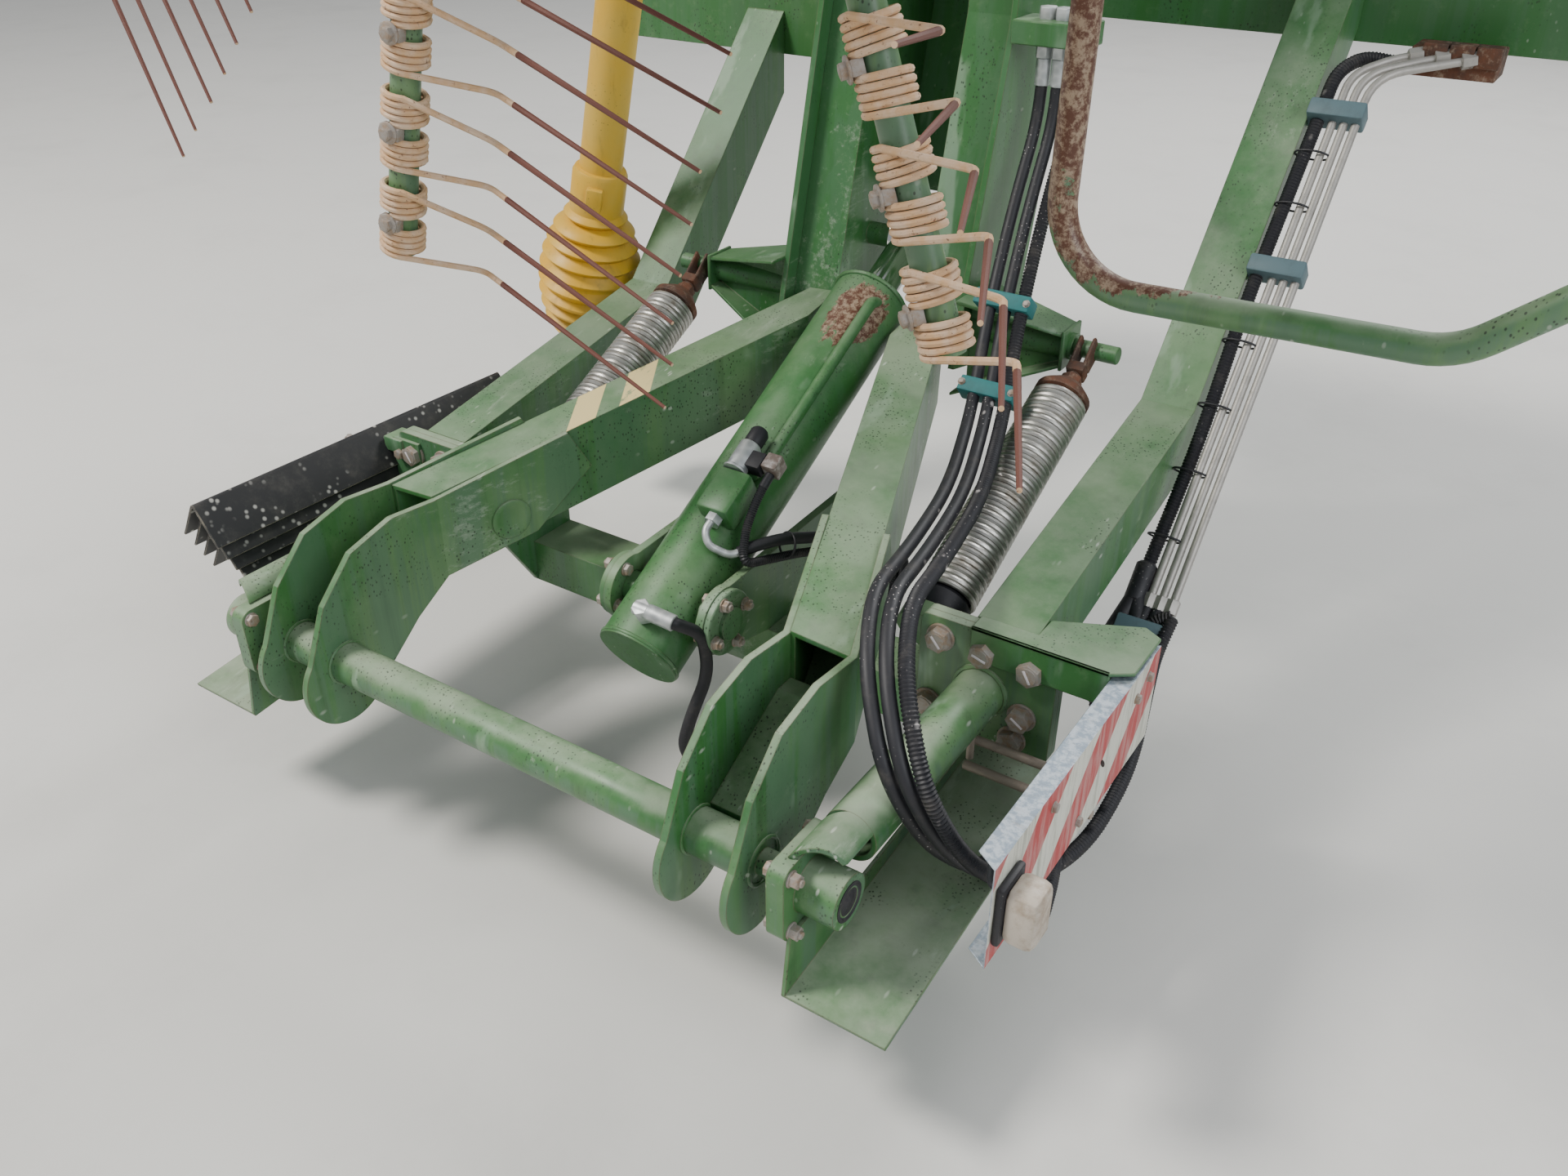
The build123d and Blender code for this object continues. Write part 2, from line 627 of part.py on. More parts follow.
# Rotor
rotor_plane = Plane(origin=place(0, ROTOR_REACH, ROTOR_HEIGHT), x_dir=(1, 0, 0), z_dir=(0, -1, 0))



def pad_plane(end):
    """Face of a pad on the rotor head, across the hoop's first or last run."""
    step = 1 if end == 0 else -2
    run = Vector(HOOP[step][0], 0, HOOP[step][1] - ROTOR_HEIGHT).normalized()
    return Plane(origin=place(0, HOOP_REACH, ROTOR_HEIGHT) + run * PAD_RADIUS, x_dir=(0, 1, 0), z_dir=run)


with BuildPart() as rotor_head:
    with BuildSketch(rotor_plane.offset(ROTOR_REACH - HEAD_BACK_REACH)):
        Circle(HEAD_OD / 2)
    extrude(amount=HEAD_BACK_REACH - HEAD_FRONT_REACH)
    with BuildSketch(rotor_plane.offset(ROTOR_REACH - HEAD_FRONT_REACH)):
        Circle(SHAFT_OD / 2)
    extrude(amount=HEAD_FRONT_REACH - ROTOR_REACH + DRUM_DEPTH / 2 + GAP)
    for end in (0, -1):
        with BuildSketch(pad_plane(end)):
            Rectangle(PAD_SIZE, PAD_SIZE)
        extrude(amount=-PAD_SIZE)
save(rotor_head.part, "rotor_head")

with BuildPart() as rotor_drum:
    with BuildSketch(rotor_plane.offset(-DRUM_DEPTH / 2)):
        Circle(DRUM_OD / 2)
    extrude(amount=DRUM_DEPTH)
    for index in range(TINE_ARMS):
        angle = radians(FIRST_ARM_ANGLE + index * 360 / TINE_ARMS)
        out = Vector(sin(angle), 0, -cos(angle))
        centre = place(0, ROTOR_REACH, ROTOR_HEIGHT)
        with BuildSketch(Plane(origin=centre + out * (DRUM_OD / 2 - 40), x_dir=(0, 1, 0), z_dir=out)):
            Circle(SOCKET_OD / 2)
        extrude(amount=SOCKET_OUT - DRUM_OD / 2 + 40)
    with BuildSketch(rotor_plane.offset(-DRUM_DEPTH / 2)):
        Circle(SHAFT_OD / 2 + GAP)
    extrude(amount=DRUM_DEPTH, mode=Mode.SUBTRACT)
save(rotor_drum.part, "rotor_drum")

with BuildPart() as tine_arms:
    for index in range(TINE_ARMS):
        angle = radians(FIRST_ARM_ANGLE + index * 360 / TINE_ARMS)
        out = Vector(sin(angle), 0, -cos(angle))
        centre = place(0, ROTOR_REACH, ROTOR_HEIGHT)
        with BuildSketch(Plane(origin=centre + out * SOCKET_OUT, x_dir=(0, 1, 0), z_dir=out)):
            Circle(ARM_OD / 2)
        extrude(amount=ROTOR_RADIUS - SOCKET_OUT)
save(tine_arms.part, "tine_arms")

# One double tine: the coils round the arm and a cranked leg from each end.
# Local z runs out along the arm, local x is the way the legs point.
coil_across = COIL_OD / 2 * cos(pi / COIL_SIDES)
coil_half = COIL_OFFSET + COIL_LENGTH / 2
bend = radians(LEG_BEND)
first = Vector(cos(bend), -sin(bend), 0)
lift = Vector(sin(bend), cos(bend), 0) * (coil_across - WIRE / 2)
with BuildPart() as double_tine:
    with BuildSketch(Plane.XY.offset(-coil_half)):
        RegularPolygon(coil_across, COIL_SIDES, major_radius=False)
        RegularPolygon(ARM_OD / 2 + GAP, COIL_SIDES, major_radius=False, mode=Mode.SUBTRACT)
    extrude(amount=2 * coil_half)
    for end in (-1, 1):
        leg = end * (coil_half - WIRE / 2)
        tip = end * TINE_PITCH / 4
        root = lift + Vector(0, 0, leg)
        knee = root + first * LEG_FIRST
        end_point = knee + Vector(LEG_SECOND, 0, tip - leg)
        with BuildLine() as leg_line:
            Polyline(root, knee, end_point)
        with BuildSketch(Plane(origin=root, z_dir=first, x_dir=(0, 0, 1))):
            Rectangle(WIRE, WIRE)
        sweep(path=leg_line.line, transition=Transition.RIGHT)

tine_places = []
for index in range(TINE_ARMS):
    angle = radians(FIRST_ARM_ANGLE + index * 360 / TINE_ARMS)
    roll = radians(TINE_ROLL[index])
    out = Vector(sin(angle), 0, -cos(angle))
    turning = Vector(cos(angle), 0, sin(angle))
    ground = Vector(0, -1, 0)
    legs = turning * cos(roll) + ground * sin(roll)
    for tine in range(TINES_PER_ARM):
        bolt = ROTOR_RADIUS - LAST_TINE - tine * TINE_PITCH
        centre = place(0, ROTOR_REACH, ROTOR_HEIGHT) + out * bolt
        tine_places.append(Plane(origin=centre, x_dir=legs, z_dir=out).location)

with BuildPart() as tines:
    with Locations(*tine_places):
        add(double_tine.part)
save(tines.part, "tines")

# Running gear under the rotor
with BuildPart() as gear_beam:
    with BuildSketch(rotor_plane.offset(DRUM_DEPTH / 2 + GAP)):
        Circle(55)
    extrude(amount=ROTOR_REACH - DRUM_DEPTH / 2 - GAP - WHEEL_CENTRE_REACH)
    with BuildSketch(side_plane(-GEAR_BEAM / 2)):
        with Locations((WHEEL_CENTRE_REACH, ROTOR_HEIGHT)):
            Rectangle(GEAR_BEAM, 2 * (TRACK_HALF - ROCKER_SIZE / 2))
    extrude(amount=GEAR_BEAM)
save(gear_beam.part, "gear_beam")

for side, up in (("low", -1), ("high", 1)):
    centre_height = ROTOR_HEIGHT + up * TRACK_HALF
    with BuildPart() as rocker:
        with BuildSketch(side_plane(-ROCKER_HALF - ROCKER_SIZE / 2)):
            with Locations((WHEEL_CENTRE_REACH, centre_height)):
                Rectangle(ROCKER_SIZE, ROCKER_SIZE)
        extrude(amount=2 * ROCKER_HALF + ROCKER_SIZE)
        for out in (-1, 1):
            axle_from = place(out * ROCKER_HALF, WHEEL_CENTRE_REACH, centre_height + up * ROCKER_SIZE / 2)
            with BuildSketch(Plane(origin=axle_from, z_dir=(0, 0, up))):
                Circle(AXLE_OD / 2)
            extrude(amount=WHEEL_AWAY + WHEEL_WIDTH / 2)
    save(rocker.part, f"wheel_rocker_{side}")

wheel_number = 0
for up in (-1, 1):
    for out in (-1, 1):
        wheel_number += 1
        hub = place(out * ROCKER_HALF, WHEEL_CENTRE_REACH, ROTOR_HEIGHT + up * (TRACK_HALF + ROCKER_SIZE / 2 + WHEEL_AWAY))
        wheel_plane = Plane(origin=hub, z_dir=(0, 0, 1))
        with BuildPart() as tyre:
            with BuildSketch(wheel_plane.offset(-WHEEL_WIDTH / 2)):
                Circle(WHEEL_OD / 2)
            extrude(amount=WHEEL_WIDTH)
            round_edges = tyre.edges().filter_by(GeomType.CIRCLE)
            fillet(round_edges, 38)
            with BuildSketch(wheel_plane.offset(-WHEEL_WIDTH / 2)):
                Circle(RIM_OD / 2)
            extrude(amount=WHEEL_WIDTH, mode=Mode.SUBTRACT)
        save(tyre.part, f"tyre_{wheel_number}")
        with BuildPart() as rim:
            with BuildSketch(wheel_plane.offset(-RIM_WIDTH / 2)):
                Circle(RIM_OD / 2)
                Circle(AXLE_OD / 2 + GAP, mode=Mode.SUBTRACT)
            extrude(amount=RIM_WIDTH)
        save(rim.part, f"rim_{wheel_number}")

# Hoop that keeps the rotor's tines off the folded arm's neighbours
with BuildPart() as guard_hoop:
    hoop_points = [pad_plane(0).origin, *[place(x, HOOP_REACH, height) for x, height in HOOP[1:-1]],
                   pad_plane(-1).origin]
    with BuildLine() as hoop_line:
        FilletPolyline(*hoop_points, radius=HOOP_BEND)
    first_run = hoop_points[1] - hoop_points[0]
    with BuildSketch(Plane(origin=hoop_points[0], z_dir=first_run, x_dir=(0, 1, 0))):
        Circle(HOOP_OD / 2)
    sweep(path=hoop_line.line)
save(guard_hoop.part, "guard_hoop")

# Warning board: a folded sheet on its bracket, and its lamp
with BuildPart() as board:
    with BuildSketch(Plane(origin=place(BOARD_X, BOARD_NEAR, 0), x_dir=(1, 0, 0), z_dir=(0, 1, 0))):
        low, high = -BOARD_TOP, BOARD_HEIGHT - BOARD_TOP
        with BuildLine():
            Polyline((-BOARD_FLANGE, low), (0, low), (0, high), (-BOARD_FLANGE, high),
                     (-BOARD_FLANGE, high - BOARD_THICK), (-BOARD_THICK, high - BOARD_THICK),
                     (-BOARD_THICK, low + BOARD_THICK), (-BOARD_FLANGE, low + BOARD_THICK), close=True)
        make_face()
    extrude(amount=BOARD_LENGTH)
save(board.part, "warning_board")

with BuildPart() as board_bracket:
    with BuildSketch(front_plane(FLANGE_REACH - FLANGE_THICK)):
        Polygon((FLANGE_OUTER_X - 90, FLANGE_HIGH), (BOARD_X - BOARD_FLANGE - GAP, FLANGE_HIGH),
                (BOARD_X - BOARD_FLANGE - GAP, FLANGE_HIGH - 60), (FLANGE_OUTER_X - 90, FLANGE_HIGH - 60), align=None)
    extrude(amount=8)
save(board_bracket.part, "board_bracket")

with BuildPart() as lamp:
    with BuildSketch(side_plane(BOARD_X)):
        with Locations((BOARD_NEAR + 40, BOARD_TOP - BOARD_HEIGHT / 2)):
            RectangleRounded(60, 90, 20)
    extrude(amount=LAMP_DEPTH)
save(lamp.part, "warning_lamp")

for side, sign in SIDES:
    low, high = mirrored(sign, GUARD_IN_X, GUARD_OUT_X)
    with BuildPart() as floor_guard:
        with BuildSketch(side_plane(low)):
            Polygon(*FLOOR_GUARD, align=None)
        extrude(amount=high - low)
        low, high = mirrored(sign, GUARD_IN_X, GUARD_IN_X + GUARD_THICK)
        with BuildSketch(side_plane(low)):
            Polygon(*GUARD_LEG, align=None)
        extrude(amount=high - low)
    save(floor_guard.part, f"floor_guard_{side}")
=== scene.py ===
"""Looks of one folding rotor unit of a rotary rake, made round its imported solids.

Lengths are metres. X runs along the machine's main beam, Y points in to the machine and Z is up.
A place on the unit is given from the fold axis: x, reach along +Y and height along +Z.
"""
import math
import random

import bmesh
import bpy
from bpy.props import FloatProperty, FloatVectorProperty, IntProperty, PointerProperty
from mathutils import Matrix, Vector


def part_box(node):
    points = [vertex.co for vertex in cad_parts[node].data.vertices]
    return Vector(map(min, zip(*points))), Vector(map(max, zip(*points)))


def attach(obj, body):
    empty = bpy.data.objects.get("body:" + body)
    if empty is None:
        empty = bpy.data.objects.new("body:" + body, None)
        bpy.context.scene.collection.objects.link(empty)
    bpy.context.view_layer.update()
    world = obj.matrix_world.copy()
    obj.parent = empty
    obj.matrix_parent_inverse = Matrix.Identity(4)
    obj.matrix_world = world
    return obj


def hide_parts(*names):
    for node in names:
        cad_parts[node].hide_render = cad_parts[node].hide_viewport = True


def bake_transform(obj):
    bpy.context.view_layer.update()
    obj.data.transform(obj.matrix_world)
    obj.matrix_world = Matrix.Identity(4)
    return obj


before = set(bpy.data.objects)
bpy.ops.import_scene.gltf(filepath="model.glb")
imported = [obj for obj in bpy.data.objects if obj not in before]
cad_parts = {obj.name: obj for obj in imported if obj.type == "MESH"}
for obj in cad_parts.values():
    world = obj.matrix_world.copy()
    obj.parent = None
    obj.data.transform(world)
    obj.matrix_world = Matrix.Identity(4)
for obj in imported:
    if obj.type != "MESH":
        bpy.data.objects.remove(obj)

bl_info = {
    "name": "Rotary rake rotor unit",
    "version": (1, 0, 0),
    "blender": (4, 5, 0),
    "location": "View3D > Sidebar > Rake",
    "description": "Finishes and fittings of a folding rotor unit",
    "category": "Object",
}

FOLD_AXIS = Vector((0, -2.05, -0.95))
SIDES = (("left", -1), ("right", 1))
SIGNS = (-1, 1)
FULL_TURN = 2 * math.pi
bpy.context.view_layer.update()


def at(x, reach, height):
    """A point of the unit in the shared frame."""
    return FOLD_AXIS + Vector((x, reach, height))


def facing(origin, normal, upright=(0, 0, 1)):
    """A placing matrix whose local z is the normal."""
    z = Vector(normal).normalized()
    x = Vector(upright).cross(z)
    if x.length < 1e-6:
        x = Vector((1, 0, 0)).cross(z)
    x.normalize()
    y = z.cross(x)
    return Matrix.Translation(origin) @ Matrix((x, y, z)).transposed().to_4x4()


class RakePaint(bpy.types.PropertyGroup):
    """Colours of the painted and bare surfaces."""

    fresh_green: FloatVectorProperty(name="Fresh green", description="Paint where it is clean",
                                     subtype="COLOR",
                                     size=3, default=(0.036, 0.145, 0.036))
    faded_green: FloatVectorProperty(name="Faded green", description="Paint where sun and dust took it",
                                     subtype="COLOR", size=3, default=(0.13, 0.235, 0.105))
    dust: FloatVectorProperty(name="Dust", description="Dry dust on faces that look up", subtype="COLOR",
                              size=3, default=(0.36, 0.40, 0.31))
    rust: FloatVectorProperty(name="Rust", description="Rust on bare steel", subtype="COLOR",
                              size=3, default=(0.13, 0.045, 0.02))
    guard_yellow: FloatVectorProperty(name="Guard yellow", description="Plastic of the drive shaft guard",
                                      subtype="COLOR", size=3, default=(0.72, 0.40, 0.015))
    wear: FloatProperty(name="Wear", description="How far the edges are worn", min=0, max=1, default=0.6)


class RakeTines(bpy.types.PropertyGroup):
    """Sizes of the double tines."""

    wire: FloatProperty(name="Wire", description="Diameter of the tine wire", unit="LENGTH", default=0.0098)
    coil: FloatProperty(name="Coil", description="Radius of the middle of the wire in a coil",
                        unit="LENGTH",
                        default=0.0315)
    inner: FloatProperty(name="Inner", description="First turn of a coil, from the clamp bolt",
                         unit="LENGTH",
                         default=0.0125)
    turns: IntProperty(name="Turns", description="Whole turns in a coil", min=2, default=4)
    pitch: FloatProperty(name="Pitch", description="From one clamp bolt to the next", unit="LENGTH",
                         default=0.145)
    bend: FloatProperty(name="Bend", description="Turn of the leg at its knee", subtype="ANGLE",
                        default=math.radians(52))


class RakeStage(bpy.types.PropertyGroup):
    """Camera and floor."""

    lens: FloatProperty(name="Lens", description="Focal length in millimetres", default=29.85)
    pitch: FloatProperty(name="Camera pitch", description="Lean from straight down", subtype="ANGLE",
                         default=math.radians(57.8))
    turn: FloatProperty(name="Camera turn", description="Heading", subtype="ANGLE",
                        default=math.radians(33.7))
    floor: FloatProperty(name="Floor", description="Height of the floor", unit="LENGTH", default=-1.31)


class Value:
    """A shader socket that can stand in a sum; an expression adds its Math nodes."""

    def __init__(self, finish, socket):
        self.finish = finish
        self.socket = socket

    def math(self, operation, *terms):
        return self.finish.node("ShaderNodeMath", {"operation": operation}, dict(enumerate(terms)))

    def __add__(self, other):
        return self.math("ADD", self, other)

    def __sub__(self, other):
        return self.math("SUBTRACT", self, other)

    def __mul__(self, other):
        return self.math("MULTIPLY", self, other)

    def __truediv__(self, other):
        return self.math("DIVIDE", self, other)

    def __rsub__(self, other):
        return self.math("SUBTRACT", other, self)

    __radd__ = __add__
    __rmul__ = __mul__

    def most(self, other):
        return self.math("MAXIMUM", self, other)

    def fraction(self):
        return self.math("FRACT", self)

    def step(self, low, high):
        """A soft step from 0 at low to 1 at high."""
        return self.finish.node("ShaderNodeMapRange", {"interpolation_type": "SMOOTHSTEP"},
                                {0: self, 1: low, 2: high, 3: 0.0, 4: 1.0})


class Finish:
    """One material and the ways to add nodes to it."""

    def __init__(self, name):
        self.material = bpy.data.materials.new(name)
        self.material.use_nodes = True
        self.tree = self.material.node_tree
        self.shader = self.tree.nodes["Principled BSDF"]
        self.place = self.node("ShaderNodeTexCoord", out="Object")

    def node(self, kind, settings=None, inputs=None, out=0):
        """Any node: its settings first, then the values or links of its sockets."""
        made = self.tree.nodes.new(kind)
        for name, value in (settings or {}).items():
            setattr(made, name, value)
        for key, value in (inputs or {}).items():
            self.feed(made.inputs[key], value)
        return Value(self, made.outputs[out])

    def feed(self, socket, value):
        if isinstance(value, Value):
            self.tree.links.new(value.socket, socket)
        elif socket.type == "RGBA" and len(value) == 3:
            socket.default_value = (*value, 1)
        else:
            socket.default_value = value

    def stretched(self, scale, turn=(0, 0, 0), shift=(0, 0, 0)):
        """Object coordinates, scaled and turned."""
        return self.node("ShaderNodeMapping", {}, {"Vector": self.place, "Scale": scale, "Rotation": turn,
                                                   "Location": shift})

    def noise(self, scale, detail=4, rough=0.55, place=None, distortion=0.0):
        return self.node("ShaderNodeTexNoise", {}, {
            "Vector": place or self.place, "Scale": scale, "Detail": detail, "Roughness": rough,
            "Distortion": distortion})

    def cells(self, scale, place=None, feature="F1"):
        inputs = {"Vector": place or self.place, "Scale": scale}
        return self.node("ShaderNodeTexVoronoi", {"feature": feature}, inputs, "Distance")

    def mix(self, share, first, second):
        return self.node("ShaderNodeMix", {"data_type": "RGBA"}, {0: share, 6: first, 7: second}, 2)

    def axis(self, name, vector=None):
        """One coordinate of a vector: X, Y or Z."""
        return self.node("ShaderNodeSeparateXYZ", {}, {0: vector or self.place}, name)

    def looking_up(self):
        """1 where the surface faces up, 0 where it stands, at rest."""
        return self.axis("Z", self.node("ShaderNodeTexCoord", out="Normal"))

    def rounded(self, radius):
        """Normal with its sharp edges rounded."""
        return self.node("ShaderNodeBevel", {"samples": 4}, {"Radius": radius})

    def edges(self, rounded):
        """1 on a sharp edge, 0 on a flat."""
        flat = self.node("ShaderNodeNewGeometry", out="Normal")
        same = self.node("ShaderNodeVectorMath", {"operation": "DOT_PRODUCT"}, {0: rounded, 1: flat},
                         "Value")
        return 1 - same

    def bump(self, height, distance, strength=1.0, normal=None):
        inputs = {"Height": height, "Distance": distance, "Strength": strength}
        if normal:
            inputs["Normal"] = normal
        return self.node("ShaderNodeBump", {}, inputs)

    def attribute(self, name):
        return self.node("ShaderNodeAttribute", {"attribute_name": name}, {}, "Fac")

    def surface(self, **inputs):
        """Feeds the shader; a name's underscores stand for spaces."""
        for name, value in inputs.items():
            self.feed(self.shader.inputs[name.replace("_", " ")], value)
        return self.material


MADE = {}


def finish(maker, *details):
    """A material, made once and then shared."""
    key = (maker.__name__, *details)
    if key not in MADE:
        MADE[key] = maker(*details)
    return MADE[key]


def paint():
    return bpy.context.scene.rake_paint


# Bare rusty areas of the paint: middle, reach of the area along X, Y and Z
BARE_AREAS = {
    "barrel": (at(0.035, 0.985, 0.372), (0.060, 0.095, 0.060)),
    "hoop": (at(0.604, 0.50, 0.95), (0.20, 0.20, 0.46)),
}


# Cream warning stripes on the left box arm: each one's start and end across the slant
STRIPES = ((0.011, 0.104), (0.180, 0.281))
STRIPE_SLANT = 1.7


def green_paint(age=0.5, dusty=0.5, chipped=0.5, bare_area=None, striped=False):
    """Machine paint, faded, dusted, spattered and worn through at its edges."""
    colours = paint()
    shares = "_".join(str(int(share * 100)) for share in (age, dusty, chipped))
    f = Finish(f"green_paint_{shares}_{bare_area or 'whole'}_{striped}")
    broad = f.noise(2.3, 6, 0.6)
    colour = f.mix(broad.step(0.62 - 0.35 * age, 0.9 - 0.35 * age), colours.fresh_green,
                   colours.faded_green)
    runs = f.noise(1, 5, 0.6, f.stretched((26, 26, 1.6)))
    colour = f.mix(runs.step(0.5, 0.72) * (0.45 * dusty), colour, (0.012, 0.03, 0.014))
    mottle = f.noise(34, 5, 0.7)
    colour = f.mix(mottle.step(0.52, 0.75) * 0.35, colour, colours.faded_green)
    up = f.looking_up()
    stains = f.noise(1, 5, 0.62, f.stretched((24, 24, 1.1), (0, 0, 0), (2, 5, 0))).step(0.43, 0.56)
    colour = f.mix(stains * (1 - up.step(0.25, 0.6)) * (0.75 * age), colour, (0.085, 0.165, 0.105))
    film = (up + (f.noise(5.5, 7, 0.65) - 0.5) * 2.2).step(0.35, 1.35) * dusty
    colour = f.mix(film * 0.75, colour, colours.dust)
    scuff_lie = f.noise(1, 6, 0.75, f.stretched((55, 14, 55), (0.3, 0.5, 0.2)))
    scuffs = (scuff_lie * 0.5 + f.noise(3.2, 3) * 0.5).step(0.6 - 0.05 * chipped, 0.66) * chipped
    colour = f.mix(scuffs * 0.55, colour, (0.42, 0.47, 0.38))
    slanted = f.stretched((1, 0.32, 0.62), (0.5, 0.2, 0.9))
    flecks = f.noise(4.2, 3).step(0.52, 0.66) * (1 - f.cells(62, slanted).step(0.07, 0.15 + 0.06 * dusty))
    colour = f.mix(flecks * (0.8 * dusty), colour, (0.6, 0.64, 0.55))
    smears = f.noise(1, 4, 0.62, f.stretched((9, 5, 2.2), (0.35, 0.15, 0.0), (3, 1, 5))).step(0.6, 0.68)
    colour = f.mix(smears * (0.55 * chipped), colour, (0.36, 0.47, 0.36))
    shifted = f.stretched((1, 1, 0.7), (0, 0, 0), (4, 7, 2))
    grime = f.noise(7.5, 3).step(0.45, 0.62) * (1 - f.cells(150, shifted).step(0.14, 0.3))
    colour = f.mix(grime * 0.8, colour, (0.012, 0.014, 0.01))
    if striped:
        lean = f.axis("Y") - FOLD_AXIS.y + f.axis("X") * STRIPE_SLANT
        (first, first_end), (second, second_end) = STRIPES
        bands = (lean.step(first, first + 0.003) * (1 - lean.step(first_end, first_end + 0.003))
                 + lean.step(second, second + 0.003) * (1 - lean.step(second_end, second_end + 0.003)))
        kept = 1 - (f.noise(38, 6, 0.75, f.stretched((1, 0.3, 1), (0, 0, 0.6)))).step(0.56, 0.66) * 0.85
        colour = f.mix(bands * up.step(0.6, 0.8) * kept, colour, (0.72, 0.58, 0.27))
    rounded = f.rounded(0.0035)
    edge = (f.edges(rounded) * 3.4 + (f.noise(48, 4, 0.7) - 0.5) * 0.9).step(0.22, 0.5) * colours.wear
    colour = f.mix(edge * 0.8, colour, (0.2, 0.3, 0.17))
    bare = (f.edges(rounded) * 3.0 + (f.noise(22, 6, 0.75) - 0.58)).step(0.36, 0.5) * chipped
    colour = f.mix(bare * 0.8, colour, colours.rust)
    if bare_area:
        middle, reach = BARE_AREAS[bare_area]
        away = f.node("ShaderNodeVectorMath", {"operation": "SUBTRACT"}, {0: f.place, 1: middle})
        away = f.node("ShaderNodeVectorMath", {"operation": "DIVIDE"}, {0: away, 1: reach})
        far = f.node("ShaderNodeVectorMath", {"operation": "LENGTH"}, {0: away}, "Value")
        patchy = f.noise(1, 6, 0.72, f.stretched((30, 9, 22))) * 1.9 + (up - 0.35) * 0.5 - far
        lost = patchy.step(0.16, 0.26)
        rusty = f.mix(f.noise(80, 5, 0.75).step(0.42, 0.62), (0.10, 0.035, 0.018), (0.34, 0.25, 0.17))
        colour = f.mix(lost, colour, rusty)
        bare = bare.most(lost)
    height = f.noise(420, 2) * 0.15 + mottle * 0.5 - bare * 0.9 - scuffs * 0.25
    return f.surface(
        Base_Color=colour,
        Roughness=0.34 + film * 0.42 + scuffs * 0.3 + mottle * 0.12,
        Normal=f.bump(height, 0.0006, 0.6, rounded),
        Specular_IOR_Level=0.5,
    )


def bare_steel(tone=0.5):
    """Rusted, greasy steel."""
    f = Finish(f"bare_steel_{int(tone * 100)}")
    patches = f.noise(14, 7, 0.7)
    colour = f.mix(patches.step(0.35, 0.65), (0.05, 0.03, 0.022), paint().rust)
    colour = f.mix(f.noise(70, 4, 0.7).step(0.5, 0.72) * tone, colour, (0.28, 0.2, 0.14))
    rounded = f.rounded(0.0025)
    shine = (f.edges(rounded) * 3 + (f.noise(60, 3) - 0.5)).step(0.3, 0.7)
    colour = f.mix(shine * 0.6, colour, (0.32, 0.27, 0.22))
    return f.surface(Base_Color=colour, Roughness=0.78 - shine * 0.3, Metallic=shine * 0.6,
                     Normal=f.bump(patches + f.noise(160, 3) * 0.4, 0.0012, 0.7, rounded))


def zinc(dirt=0.4):
    """Galvanised steel with dull dust on it."""
    f = Finish(f"zinc_{int(dirt * 100)}")
    spangle = f.cells(75)
    colour = f.mix(spangle.step(0.1, 0.9), (0.42, 0.44, 0.45), (0.6, 0.62, 0.62))
    soil = f.noise(9, 7, 0.7)
    colour = f.mix(soil.step(0.5, 0.72) * dirt, colour, (0.24, 0.19, 0.13))
    return f.surface(Base_Color=colour, Roughness=0.38 + soil * 0.3,
                     Metallic=0.85 - soil.step(0.5, 0.72) * dirt * 0.6,
                     Normal=f.bump(f.noise(90, 3), 0.0003, 0.5, f.rounded(0.0012)))


def dusty_bolt(tone=0.5):
    """Zinc-plated head, dull and dusted over."""
    f = Finish(f"dusty_bolt_{int(tone * 100)}")
    soil = f.noise(60, 5, 0.7)
    colour = f.mix(soil.step(0.4, 0.68), (0.36, 0.33, 0.3), (0.30, 0.21, 0.14))
    colour = f.mix(f.noise(190, 3).step(0.6, 0.8) * tone, colour, (0.12, 0.06, 0.03))
    return f.surface(Base_Color=colour, Roughness=0.5 + soil * 0.3,
                     Metallic=0.55 - soil.step(0.4, 0.68) * 0.35,
                     Normal=f.bump(soil, 0.0004, 0.6, f.rounded(0.0008)))


def tine_wire():
    """Painted spring wire, chipped at the coil and rusty towards its tip."""
    f = Finish("tine_wire")
    along = f.attribute("along")
    speckle = f.noise(150, 5, 0.75)
    broad = f.noise(26, 4, 0.7)
    worn = (along * 1.15 + (broad - 0.5) * 0.5).step(0.5, 0.95)
    colour = f.mix(f.noise(40, 3).step(0.35, 0.7), (0.58, 0.36, 0.19), (0.64, 0.47, 0.33))
    colour = f.mix((speckle + worn * 0.42).step(0.58, 0.7), colour, (0.11, 0.032, 0.02))
    colour = f.mix((speckle - worn * 0.05).step(0.62, 0.72) * worn, colour, (0.42, 0.32, 0.27))
    return f.surface(Base_Color=colour, Roughness=0.62 + speckle * 0.2, Normal=f.bump(speckle, 0.0008, 0.7))


def spring_steel():
    """Bright plated spring wire with dirt between its coils."""
    f = Finish("spring_steel")
    tarnish = f.noise(24, 6, 0.7)
    colour = f.mix(tarnish.step(0.45, 0.75), (0.5, 0.49, 0.46), (0.2, 0.17, 0.13))
    return f.surface(Base_Color=colour, Metallic=0.9 - tarnish.step(0.5, 0.8) * 0.5,
                     Roughness=0.27 + tarnish * 0.3, Normal=f.bump(f.noise(240, 3), 0.0002, 0.5))


